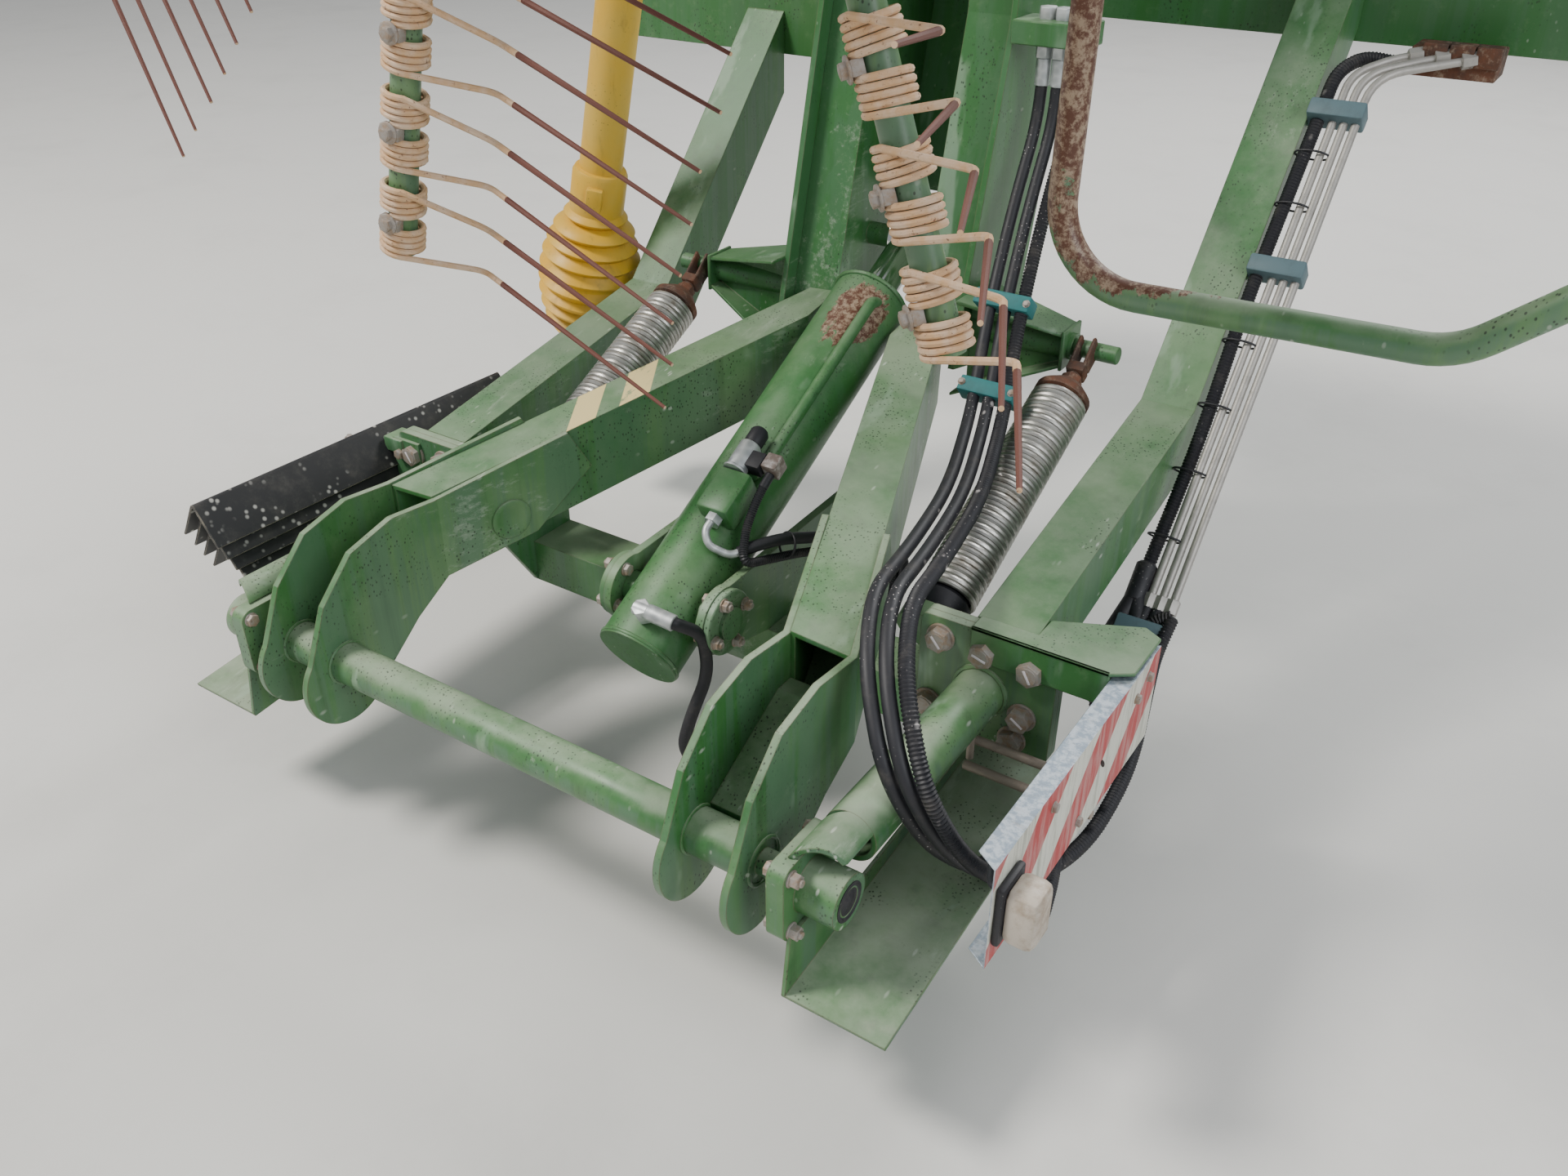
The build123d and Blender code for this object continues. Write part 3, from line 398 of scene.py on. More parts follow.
def guard_plastic(dirt=0.4):
    """Yellow plastic guard, bleached and soiled."""
    f = Finish(f"guard_plastic_{int(dirt * 100)}")
    fade = f.noise(5, 5, 0.6)
    colour = f.mix(fade.step(0.35, 0.7), paint().guard_yellow, (0.66, 0.42, 0.06))
    soil = f.noise(1, 6, 0.7, f.stretched((30, 30, 7)))
    colour = f.mix(soil.step(0.5, 0.78) * dirt, colour, (0.22, 0.13, 0.035))
    specks = 1 - f.cells(120).step(0.08, 0.2)
    colour = f.mix(specks * f.noise(9, 2).step(0.5, 0.6) * 0.6, colour, (0.1, 0.06, 0.02))
    return f.surface(Base_Color=colour, Roughness=0.34 + soil * 0.3,
                     Normal=f.bump(soil, 0.0005, 0.4, f.rounded(0.0015)))


def rubber(spatter=0.0):
    """Black hose rubber, with pale spatter where asked."""
    f = Finish(f"rubber_{int(spatter * 100)}")
    dusting = f.noise(20, 6, 0.7)
    colour = f.mix(dusting.step(0.5, 0.85), (0.012, 0.012, 0.016), (0.07, 0.062, 0.055))
    lie = f.stretched((1, 0.7, 0.5), (0.4, 0, 0))
    drops = (1 - f.cells(40, lie).step(0.06, 0.2)) * f.noise(6, 4).step(0.5, 0.62)
    fine = (1 - f.cells(150).step(0.06, 0.2)) * f.noise(9, 3).step(0.48, 0.6)
    colour = f.mix(drops.most(fine) * spatter, colour, (0.56, 0.52, 0.5))
    return f.surface(Base_Color=colour, Roughness=0.42 + dusting * 0.3,
                     Normal=f.bump(f.noise(200, 3), 0.0003, 0.5))


def plain(name, colour, roughness=0.5, metallic=0.0, soil=0.3, scale=30):
    """A plain tone with soil and a fine grain."""
    f = Finish(name)
    dirt = f.noise(scale, 6, 0.7)
    tone = f.mix(dirt.step(0.45, 0.75) * soil, colour, tuple(0.35 * c + 0.03 for c in colour))
    return f.surface(Base_Color=tone, Roughness=roughness + dirt * 0.2, Metallic=metallic,
                     Normal=f.bump(dirt, 0.0004, 0.5, f.rounded(0.001)))


def board_sheet():
    """Slanted red and white warning stripes over a galvanised sheet."""
    f = Finish("board_sheet")
    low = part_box("warning_board")[0]
    across = f.axis("Y") - low.y
    up = f.axis("Z") - low.z
    lean = across * 0.7071 - up * 0.7071
    stripe = (lean / 0.141 + 0.18).fraction()
    red = stripe.step(0.0, 0.02) * (1 - stripe.step(0.5, 0.52))
    soil = f.noise(1, 7, 0.72, f.stretched((20, 75, 7), (0.25, 0, 0)))
    fine = f.noise(120, 5, 0.7)
    white = f.mix(soil.step(0.46, 0.66) * 0.75, (0.60, 0.60, 0.52), (0.30, 0.30, 0.24))
    rose = f.mix(soil.step(0.42, 0.62) * 0.7, (0.40, 0.035, 0.035), (0.48, 0.27, 0.25))
    colour = f.mix(red, white, rose)
    front = f.axis("X", f.node("ShaderNodeTexCoord", out="Normal")).step(0.5, 0.9)
    metal = f.mix(f.noise(70, 4, 0.7).step(0.4, 0.6), (0.30, 0.36, 0.43), (0.52, 0.57, 0.62))
    metal = f.mix(soil.step(0.5, 0.75) * 0.4, metal, (0.3, 0.26, 0.2))
    colour = f.mix(front, metal, colour)
    colour = f.mix(fine.step(0.62, 0.8) * 0.3, colour, (0.2, 0.17, 0.13))
    return f.surface(Base_Color=colour, Roughness=0.45 + soil * 0.25, Metallic=(1 - front) * 0.75,
                     Normal=f.bump(fine, 0.0002, 0.5, f.rounded(0.0015)))


def tyre_rubber():
    """Dusty tyre rubber."""
    f = Finish("tyre_rubber")
    dusting = f.noise(9, 7, 0.7)
    colour = f.mix(dusting.step(0.4, 0.75), (0.018, 0.018, 0.018), (0.14, 0.12, 0.095))
    return f.surface(Base_Color=colour, Roughness=0.8,
                     Normal=f.bump(f.noise(130, 4), 0.0006, 0.6, f.rounded(0.002)))


def chrome_rod():
    """Polished piston rod."""
    f = Finish("chrome_rod")
    haze = f.noise(1, 5, 0.6, f.stretched((60, 8, 60)))
    return f.surface(Base_Color=(0.62, 0.62, 0.6), Metallic=1.0, Roughness=0.1 + haze.step(0.5, 0.8) * 0.25)


def smoky_plastic():
    """Clear plug housing, browned and scratched."""
    f = Finish("smoky_plastic")
    scratch = f.noise(60, 6, 0.75)
    colour = f.mix(scratch.step(0.45, 0.7), (0.16, 0.12, 0.1), (0.42, 0.38, 0.36))
    return f.surface(Base_Color=colour, Roughness=0.22 + scratch * 0.3,
                     Normal=f.bump(scratch, 0.0003, 0.5, f.rounded(0.001)))


def lamp_lens():
    """Clear lamp lens with dirt and scratches on it."""
    f = Finish("lamp_lens")
    soil = f.noise(26, 7, 0.7)
    streaks = f.noise(1, 5, 0.7, f.stretched((14, 14, 70), (0.2, 0.1, 0)))
    colour = f.mix(soil.step(0.42, 0.66), (0.62, 0.55, 0.46), (0.40, 0.31, 0.22))
    colour = f.mix(streaks.step(0.6, 0.75) * 0.6, colour, (0.72, 0.69, 0.62))
    return f.surface(Base_Color=colour, Roughness=0.2 + soil * 0.4, Transmission_Weight=0.25, IOR=1.49,
                     Normal=f.bump(streaks, 0.0004, 0.4, f.rounded(0.002)))


def strip_black():
    """Black painted angle, rubbed pale on its ridge and edges."""
    f = Finish("strip_black")
    dusting = f.noise(16, 6, 0.7)
    colour = f.mix(dusting.step(0.45, 0.8), (0.012, 0.012, 0.014), (0.06, 0.055, 0.05))
    drops = (1 - f.cells(55).step(0.1, 0.3)) * f.noise(7, 4).step(0.44, 0.56)
    colour = f.mix(drops * 0.7, colour, (0.6, 0.58, 0.54))
    rounded = f.rounded(0.003)
    rub = (f.edges(rounded) * 3.4 + (f.noise(30, 4, 0.7) - 0.5)).step(0.25, 0.5)
    colour = f.mix(rub * 0.8, colour, (0.5, 0.44, 0.33))
    return f.surface(Base_Color=colour, Roughness=0.4 + dusting * 0.3,
                     Normal=f.bump(dusting, 0.0004, 0.5, rounded))


def piece(name, bm, material, body=None, instead_of=(), blend=None):
    """A finished mesh object in its place, riding on a body, or with its placing baked into its mesh when
    blend is given.
    """
    bmesh.ops.recalc_face_normals(bm, faces=bm.faces)
    mesh = bpy.data.meshes.new(name)
    bm.to_mesh(mesh)
    bm.free()
    made = bpy.data.objects.new(name, mesh)
    bpy.context.scene.collection.objects.link(made)
    mesh.materials.append(material)
    mesh.shade_smooth()
    mesh.set_sharp_from_angle(angle=math.radians(38))
    if blend:
        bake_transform(made)
    if body:
        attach(made, body)
    if instead_of:
        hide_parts(*instead_of)
    return made


def line_mesh(points, radius, sides=8, radii=None, cyclic=False):
    """A mesh tube along points, from a bevelled curve; its rings follow the points."""
    curve = bpy.data.curves.new("line", "CURVE")
    curve.dimensions = "3D"
    curve.bevel_depth = radius
    curve.bevel_resolution = max(0, sides // 2 - 2)
    curve.use_fill_caps = not cyclic
    curve.twist_mode = "MINIMUM"
    spline = curve.splines.new("POLY")
    spline.points.add(len(points) - 1)
    for index, point in enumerate(points):
        spline.points[index].co = (*point, 1)
        spline.points[index].radius = radii[index] if radii else 1
    spline.use_cyclic_u = cyclic
    holder = bpy.data.objects.new("line", curve)
    bpy.context.scene.collection.objects.link(holder)
    bpy.context.view_layer.update()
    mesh = bpy.data.meshes.new_from_object(holder.evaluated_get(bpy.context.evaluated_depsgraph_get()))
    bpy.data.objects.remove(holder)
    bpy.data.curves.remove(curve)
    return mesh


def add_line(bm, points, radius, **options):
    """Adds a tube along points to a bmesh and returns its new vertices."""
    mesh = line_mesh(points, radius, **options)
    before = len(bm.verts)
    bm.from_mesh(mesh)
    bpy.data.meshes.remove(mesh)
    bm.verts.ensure_lookup_table()
    return bm.verts[before:]


def rounded_path(points, share=0.45, steps=6):
    """The points with each corner replaced by a curve that meets both runs."""
    made = [points[0]]
    for before, corner, after in zip(points, points[1:], points[2:]):
        back = before - corner
        on = after - corner
        reach = share * min(back.length, on.length)
        first = corner + back.normalized() * reach
        last = corner + on.normalized() * reach
        for step in range(steps + 1):
            t = step / steps
            made.append(first.lerp(corner, t).lerp(corner.lerp(last, t), t))
    made.append(points[-1])
    return made


def evenly(points, step):
    """Points a step apart along a line of points."""
    made = [points[0]]
    left = step
    for start, end in zip(points, points[1:]):
        run = (end - start).length
        while run > 0 and left <= run:
            made.append(start.lerp(end, left / run))
            left += step
        left -= run
    return made


def add_conduit(bm, points, radius, rib=0.004):
    """Corrugated tube along points."""
    line = evenly(rounded_path(points), rib / 2)
    add_line(bm, line, radius, sides=10, radii=[1.0 if index % 2 else 0.84 for index in range(len(line))])


def add_hose(bm, points, radius, sides=12):
    """Smooth hose along points."""
    add_line(bm, rounded_path(points), radius, sides=sides)


def add_turned(bm, place, profile, steps=32):
    """A turned solid: the profile's points are radius and height along the placing matrix's z."""
    turned = bmesh.new()
    line = [turned.verts.new((radius, 0, height)) for radius, height in profile]
    edges = [turned.edges.new(pair) for pair in zip(line, line[1:])]
    bmesh.ops.spin(turned, geom=[*line, *edges], cent=(0, 0, 0), axis=(0, 0, 1), angle=FULL_TURN,
                   steps=steps,
                   use_merge=True)
    bmesh.ops.remove_doubles(turned, verts=turned.verts, dist=1e-6)
    bmesh.ops.transform(turned, matrix=place, verts=turned.verts)
    mesh = bpy.data.meshes.new("turned")
    turned.to_mesh(mesh)
    turned.free()
    bm.from_mesh(mesh)
    bpy.data.meshes.remove(mesh)


def add_rod(bm, start, end, radius, bevel=0.001, steps=24):
    """A round bar between two points, its rims bevelled."""
    height = (end - start).length
    add_turned(bm, facing(start, end - start),
               [(0, 0), (radius - bevel, 0), (radius, bevel), (radius, height - bevel),
                (radius - bevel, height),
                (0, height)], steps)


def add_prism(bm, place, radius, height, segments, bevel):
    """A many-sided plug whose top rim is bevelled; it stands on the placing matrix."""
    made = bmesh.ops.create_cone(bm, cap_ends=True, segments=segments, radius1=radius, radius2=radius,
                                 depth=height,
                                 matrix=place @ Matrix.Translation((0, 0, height / 2)))
    inverse = place.inverted()
    top = {vert for vert in made["verts"] if (inverse @ vert.co).z > height * 0.9}
    rim = {edge for vert in top for edge in vert.link_edges if edge.other_vert(vert) in top}
    bmesh.ops.bevel(bm, geom=list(rim), offset=bevel, affect="EDGES", segments=2, profile=0.5, material=-1)


def add_block(bm, place, size, bevel=0.002):
    """A box about the placing matrix, its edges bevelled."""
    made = bmesh.ops.create_cube(bm, size=1, matrix=place @ Matrix.Diagonal((*size, 1)))
    edges = {edge for vert in made["verts"] for edge in vert.link_edges}
    bmesh.ops.bevel(bm, geom=list(edges), offset=bevel, affect="EDGES", segments=2, profile=0.5,
                    material=-1)


def add_plate(bm, outline, push, bevel=0.001):
    """A plate from the corners of one face and the vector that its other face lies away."""
    near = [bm.verts.new(point) for point in outline]
    face = bm.faces.new(near)
    made = bmesh.ops.extrude_face_region(bm, geom=[face])["geom"]
    far = [item for item in made if isinstance(item, bmesh.types.BMVert)]
    bmesh.ops.translate(bm, verts=far, vec=push)
    edges = {edge for vert in (*near, *far) for edge in vert.link_edges}
    bmesh.ops.bevel(bm, geom=list(edges), offset=bevel, affect="EDGES", segments=1, profile=0.5,
                    material=-1)


def add_bolt(bm, origin, normal, across=0.036, head=0.015, washer=0.024, turn=0.0, nut=False, thick=0.004):
    """A hexagon head or a nut with its thread end, on a washer."""
    place = facing(origin, normal) @ Matrix.Rotation(turn, 4, "Z")
    add_turned(bm, place, [(0, 0), (washer, 0), (washer, thick * 0.8), (washer - 0.0008, thick),
                           (0, thick)], 24)
    lifted = place @ Matrix.Translation((0, 0, thick))
    add_prism(bm, lifted, across / 2 / math.cos(math.pi / 6), head, 6, across * 0.06)
    end = across * 0.31 if nut else across * 0.42
    rise = across * 0.24 if nut else across * 0.03
    add_turned(bm, lifted @ Matrix.Translation((0, 0, head)),
               [(0, 0), (end, 0), (end, rise * 0.7), (end * 0.86, rise), (0, rise)], 20)


def add_ring(bm, centre, normal, radius, wire, wobble=0.0, steps=40):
    """A weld bead or tie: a ring of round section."""
    place = facing(centre, normal)
    lie = random.Random(int(radius * 1e5))
    points = [place @ Vector((radius * math.cos(FULL_TURN * i / steps),
                              radius * math.sin(FULL_TURN * i / steps), 0))
              for i in range(steps)]
    radii = [1 + wobble * lie.uniform(-1, 1) for i in range(steps)]
    add_line(bm, points, wire, sides=6, radii=radii, cyclic=True)


def coil_points(radius, turns, pitch, per_turn, start=0.0, way=1):
    """Points of a helix about local z, from z = 0."""
    count = int(per_turn * turns)
    return [Vector((radius * math.cos(start + way * FULL_TURN * turns * i / count),
                    radius * math.sin(start + way * FULL_TURN * turns * i / count),
                    pitch * turns * i / count)) for i in range(count + 1)]


ROTOR = at(0, 0.3, 2.29)
ROTOR_RADIUS = 1.735
TINE_ARMS = 11
FIRST_ARM = math.radians(-13.9)
TINE_ROLL = (11, 66.5, 82, 90, 90, 90, 90, 86, 70, 40, 15)
TINES_PER_ARM = 4
LAST_TINE = 0.058
LEG_FIRST = 0.130
LEG_SECOND = 0.440
LEG_OUT = 0.024
CLAMP_ANGLE = math.radians(70)


def arm_way(index):
    """Unit vector out along a tine arm."""
    angle = FIRST_ARM + index * FULL_TURN / TINE_ARMS
    return Vector((math.sin(angle), 0, -math.cos(angle)))


def tine_places(pitch):
    """Placing matrices of the double tines: local z out along the arm, local x the way the legs point."""
    for index in range(TINE_ARMS):
        roll = math.radians(TINE_ROLL[index])
        out = arm_way(index)
        turning = Vector((-out.z, 0, out.x))
        legs = turning * math.cos(roll) + Vector((0, -1, 0)) * math.sin(roll)
        across = out.cross(legs)
        for tine in range(TINES_PER_ARM):
            centre = ROTOR + out * (ROTOR_RADIUS - LAST_TINE - tine * pitch)
            yield Matrix.Translation(centre) @ Matrix((legs, across, out)).transposed().to_4x4()


class RAKE_OT_tines(bpy.types.Operator):
    """Coiled double tines with their clamp bolts"""

    bl_idname = "rake.tines"
    bl_label = "Tines"

    def one_side(self, sizes, end):
        """Centre line of half a double tine, from clamp to tip, and how far along each point is."""
        bend = sizes.bend
        leave = math.pi / 2 - bend
        turns = sizes.turns + (CLAMP_ANGLE - leave) / FULL_TURN
        coil = [Vector((p.x, p.y, end * (sizes.inner + p.z))) for p in
                coil_points(sizes.coil, turns, sizes.wire * 1.04, 20, CLAMP_ANGLE, -1)]
        root = coil[-1]
        knee = root + Vector((math.cos(bend), -math.sin(bend), 0)) * LEG_FIRST
        knee.z = end * sizes.pitch / 4 + LEG_OUT
        tip = knee + Vector((LEG_SECOND, 0, 0))
        near = 0.3 * LEG_FIRST
        leg = rounded_path([root, knee - (knee - root).normalized() * near, knee,
                            knee.lerp(tip, near / LEG_SECOND), tip],
                           0.45)[1:]
        share = [0.0] * len(coil) + [0.1 + 0.9 * (point - root).length / (tip - root).length
                                     for point in leg]
        radii = [1.0] * (len(coil) + len(leg) - 1) + [0.55]
        return [*coil, *leg], share, radii

    def execute(self, context):
        sizes = context.scene.rake_tines
        pattern = bmesh.new()
        along = pattern.verts.layers.float.new("along")
        sides = 8
        for end in (-1, 1):
            points, share, radii = self.one_side(sizes, end)
            for index, vert in enumerate(add_line(pattern, points, sizes.wire / 2, sides=sides,
                                                  radii=radii)):
                vert[along] = share[min(index // sides, len(share) - 1)]
        mesh = bpy.data.meshes.new("double_tine")
        pattern.to_mesh(mesh)
        pattern.free()
        wires = bmesh.new()
        clamps = bmesh.new()
        lie = random.Random(7)
        for place in tine_places(sizes.pitch):
            before = len(wires.verts)
            wires.from_mesh(mesh)
            wires.verts.ensure_lookup_table()
            lean = Matrix.Rotation(math.radians(lie.uniform(-2.5, 2.5)), 4, "Z")
            bmesh.ops.transform(wires, matrix=place @ lean, verts=wires.verts[before:])
            self.clamp(clamps, place @ lean, sizes, lie)
        bpy.data.meshes.remove(mesh)
        piece("double_tines", wires, finish(tine_wire), "rotor", ["tines"])
        piece("tine_clamps", clamps, finish(dusty_bolt, 0.6), "rotor")
        return {"FINISHED"}

    def clamp(self, bm, place, sizes, lie):
        """Square plate, washer and bolt that hold the middle of a double tine on the arm."""
        out = Vector((math.cos(CLAMP_ANGLE), math.sin(CLAMP_ANGLE), 0))
        origin = place @ (out * (sizes.coil - sizes.wire))
        normal = place.to_3x3() @ out
        plate = facing(origin, normal, place.to_3x3() @ Vector((0, 0, 1)))
        add_block(bm, plate @ Matrix.Translation((0, 0, 0.008)), (0.034, 0.019, 0.016), 0.0012)
        add_bolt(bm, plate @ Vector((0, 0, 0.016)), normal, 0.019, 0.008, 0.0165, lie.uniform(0, 1),
                 thick=0.003)


SPRING_FOOT = at(0, 0.560, 0.071)
SPRING_HEAD = at(0, 1.128, 0.3515)
SPRING_X = 0.44
SPRING_OD = 0.106
SPRING_TURNS = 45


class RAKE_OT_springs(bpy.types.Operator):
    """Relief springs with their plugs, draw rods and fork eyes"""

    bl_idname = "rake.springs"
    bl_label = "Relief springs"

    def execute(self, context):
        run = SPRING_HEAD - SPRING_FOOT
        length = run.length
        wire = 0.0105
        plug = 0.045
        eye = 0.09
        for side, sign in SIDES:
            place = facing(SPRING_FOOT + Vector((sign * SPRING_X, 0, 0)), run)

            def up(height, x=0.0):
                return place @ Vector((0, 0, height)) + Vector((x, 0, 0))

            coil_length = length - eye - 2 * plug
            coil = coil_points(SPRING_OD / 2 - wire / 2, SPRING_TURNS, coil_length / SPRING_TURNS, 26)
            bm = bmesh.new()
            points = [place @ (p + Vector((0, 0, plug))) for p in coil]
            add_line(bm, points, wire / 2, sides=8)
            piece(f"spring_coil_{side}", bm, finish(spring_steel), None,
                  [f"relief_spring_{side}"],
                  ("frame", "arm", points[0], points[-1]))
            bm = bmesh.new()
            boot = [(0, 0.003), (0.046, 0.003), (0.050, 0.012), (0.050, 0.034), (0.040, 0.045),
                    (0.040, 0.095), (0, 0.1)]
            add_turned(bm, place, boot)
            piece(f"spring_boot_{side}", bm, finish(rubber, 0.1), "frame")
            top = length - eye
            bm = bmesh.new()
            add_turned(bm, place @ Matrix.Translation((0, 0, top - 2 * plug)),
                       [(0, 0), (0.040, 0), (0.040, plug), (0.052, plug + 0.004), (0.052, plug + 0.016),
                        (0.03, 2 * plug - 0.006), (0.02, 2 * plug), (0, 2 * plug)])
            add_rod(bm, up(top - 0.01), up(top + 0.03), 0.011)
            add_prism(bm, place @ Matrix.Translation((0, 0, top)), 0.0205, 0.016, 6, 0.002)
            add_block(bm, place @ Matrix.Translation((0, 0, top + 0.034)), (0.034, 0.036, 0.022), 0.004)
            for cheek in (-1, 1):
                add_plate(bm, [up(top + 0.04, cheek * 0.009) + Vector((0, y, z)) for y, z in
                               ((-0.012, 0.012), (0.012, -0.012), (0.056, 0.014), (0.034, 0.054))],
                          Vector((cheek * 0.008, 0, 0)), 0.003)
            head = SPRING_HEAD + Vector((sign * SPRING_X, 0, 0))
            add_rod(bm, head - Vector((0.034, 0, 0)), head + Vector((0.034, 0, 0)), 0.0098)
            piece(f"spring_head_{side}", bm, finish(bare_steel, 0.5), "arm")
        return {"FINISHED"}


TRUNNION = at(0, 0.425, 0.019)
LIFT_WAY = (at(0, 1.236, 0.453) - TRUNNION).normalized()
LIFT_UP = LIFT_WAY.cross(Vector((-1, 0, 0)))
BARREL = 0.076


def on_lift(distance, x=0.0, up=0.0):
    """A point by the lift cylinder: distance from its trunnion, x, and height over its axis."""
    return TRUNNION + LIFT_WAY * distance + LIFT_UP * up + Vector((x, 0, 0))


def lift_place(distance, x=0.0, up=0.0):
    """A placing matrix with z along the cylinder and y away from it."""
    return facing(on_lift(distance, x, up), LIFT_WAY, Vector((1, 0, 0)))


class RAKE_OT_lift(bpy.types.Operator):
    """Port block, valve, pipe, hoses and bearings of the lift cylinder"""

    bl_idname = "rake.lift"
    bl_label = "Lift cylinder"

    def execute(self, context):
        bm = bmesh.new()
        add_block(bm, lift_place(0.186, 0.03, 0.080), (0.058, 0.068, 0.092), 0.009)
        side = math.radians(38)
        pipe = [on_lift(d, BARREL * math.sin(side), BARREL * math.cos(side) + rise)
                for d, rise in ((0.245, 0.02), (0.275, 0.004), (0.69, 0.004), (0.705, -0.012))]
        add_hose(bm, pipe, 0.0115, 14)
        add_ring(bm, on_lift(-0.113), LIFT_WAY, BARREL - 0.001, 0.004, 0.12)
        add_ring(bm, on_lift(0.745), LIFT_WAY, BARREL, 0.0055, 0.1)
        piece("lift_ports", bm, finish(green_paint, 0.35, 0.35, 0.3), "barrel")
        bm = bmesh.new()
        add_turned(bm, lift_place(0.232, 0.022, 0.096),
                   [(0, 0), (0.023, 0), (0.023, 0.004), (0.0205, 0.006),
                    (0.0205, 0.058), (0.0185, 0.061), (0, 0.061)], 36)
        add_prism(bm, lift_place(0.125, 0.036, 0.088), 0.0155, 0.016, 6, 0.0015)
        elbow = on_lift(-0.073, 0.022, BARREL)
        add_prism(bm, facing(elbow, LIFT_UP), 0.017, 0.032, 6, 0.002)
        add_rod(bm, elbow + LIFT_UP * 0.021 - Vector((0.014, 0, 0)),
                elbow + LIFT_UP * 0.021 + Vector((0.02, 0, 0)), 0.013)
        ferrule_end = elbow + LIFT_UP * 0.016 + Vector((0.062, 0.004, -0.004))
        add_rod(bm, elbow + LIFT_UP * 0.021 + Vector((0.012, 0, 0)), ferrule_end, 0.0145)
        add_hose(bm, [on_lift(0.130, 0.036, 0.092), on_lift(0.105, 0.036, 0.092),
                      on_lift(0.088, 0.05, 0.078),
                      on_lift(0.096, 0.082, 0.052), on_lift(0.12, 0.096, 0.046)], 0.007)
        piece("lift_fittings", bm, finish(zinc, 0.5), "barrel")
        bm = bmesh.new()
        add_turned(bm, lift_place(0.293, 0.022, 0.096),
                   [(0, 0), (0.0155, 0), (0.0175, 0.006), (0.0175, 0.03),
                    (0.013, 0.036), (0, 0.036)], 12)
        add_block(bm, lift_place(0.262, 0.052, 0.094), (0.028, 0.03, 0.034), 0.002)
        add_rod(bm, on_lift(0.252, 0.084, 0.088), on_lift(0.222, 0.084, 0.086), 0.0085)
        piece("valve_black", bm, finish(rubber, 0.0), "barrel")
        bm = bmesh.new()
        add_block(bm, lift_place(0.268, 0.083, 0.092), (0.034, 0.03, 0.032), 0.003)
        piece("valve_plug", bm, finish(smoky_plastic), "barrel")
        feed = [elbow + LIFT_UP * 0.017 + Vector((0.05, 0.003, -0.003)), ferrule_end,
                at(0.105, 0.37, 0.022), at(0.112, 0.372, -0.06), at(0.104, 0.33, -0.125),
                at(0.09, 0.315, -0.2),
                at(0.11, 0.36, -0.262), at(0.17, 0.46, -0.24), at(0.20, 0.565, -0.165)]
        bm = bmesh.new()
        add_hose(bm, feed, 0.0112)
        piece("lift_feed_hose", bm, finish(rubber, 0.05), None, (),
              ("frame", "barrel", feed[-3], feed[2]))
        back = [on_lift(0.108, 0.09, 0.049), on_lift(0.128, 0.105, 0.046), at(0.135, 0.56, 0.125),
                at(0.16, 0.64, 0.098),
                at(0.215, 0.73, 0.075), at(0.27, 0.78, 0.03), at(0.28, 0.72, -0.05), at(0.27, 0.62, -0.073)]
        wire = [on_lift(0.225, 0.084, 0.086), on_lift(0.192, 0.086, 0.082), on_lift(0.14, 0.09, 0.066),
                on_lift(0.09, 0.11, 0.047), at(0.125, 0.53, 0.094), at(0.152, 0.62, 0.076),
                at(0.21, 0.715, 0.054),
                at(0.262, 0.76, 0.018), at(0.266, 0.70, -0.05), at(0.25, 0.61, -0.073)]
        bend = ("frame", "barrel", back[-2], back[3])
        bm = bmesh.new()
        add_hose(bm, back, 0.0105)
        for point, way in ((at(0.138, 0.578, 0.106), (1, 2.6, -1)),
                           (at(0.173, 0.658, 0.084), (1, 1.7, -0.6))):
            add_ring(bm, point, way, 0.0215, 0.0022)
        piece("lift_back_hose", bm, finish(rubber, 0.05), None, (), bend)
        bm = bmesh.new()
        add_conduit(bm, wire, 0.0085)
        piece("valve_conduit", bm, finish(rubber, 0.05), None, (), bend)
        self.bearings()
        return {"FINISHED"}

    def bearings(self):
        """Flanges with their nuts on the levers that hold the trunnion."""
        plates = bmesh.new()
        nuts = bmesh.new()
        for sign in SIGNS:
            face = Vector((sign * 0.108, 0, 0))
            add_turned(plates, facing(TRUNNION + face, (sign, 0, 0)),
                       [(0.031, 0), (0.060, 0), (0.060, 0.011), (0.058, 0.013), (0.031, 0.013)], 36)
            for corner in range(4):
                angle = math.radians(20 + 90 * corner)
                spot = Vector((0, 0.047 * math.cos(angle), 0.047 * math.sin(angle)))
                add_bolt(nuts, TRUNNION + spot + face + Vector((sign * 0.013, 0, 0)), (sign, 0, 0), 0.019,
                         0.010,
                         0.0125, corner, True, 0.0025)
                add_bolt(nuts, TRUNNION + spot + Vector((sign * 0.092, 0, 0)), (-sign, 0, 0), 0.019, 0.0075,
                         0.0125, corner, False, 0.0025)
        piece("trunnion_flanges", plates, finish(green_paint, 0.4, 0.5, 0.6), "frame")
        piece("trunnion_nuts", nuts, finish(dusty_bolt, 0.9), "frame")


FLANGE_BOLTS = (
    # x, height, turn of the head, whether it has a marker stroke
    (0.506, 0.120, 0.3, True), (0.580, 0.118, 0.9, True), (0.659, 0.115, 0.1, True),
    (0.652, 0.026, 0.6, True),
    (0.492, -0.008, 0.2, False), (0.640, -0.022, 0.8, False),
)
FORK_FACES = (0.357, 0.369, 0.470, 0.482)
FLANGE_FRONT = 0.454
FLANGE_BACK = 0.486
BEARING_FACE = 0.558


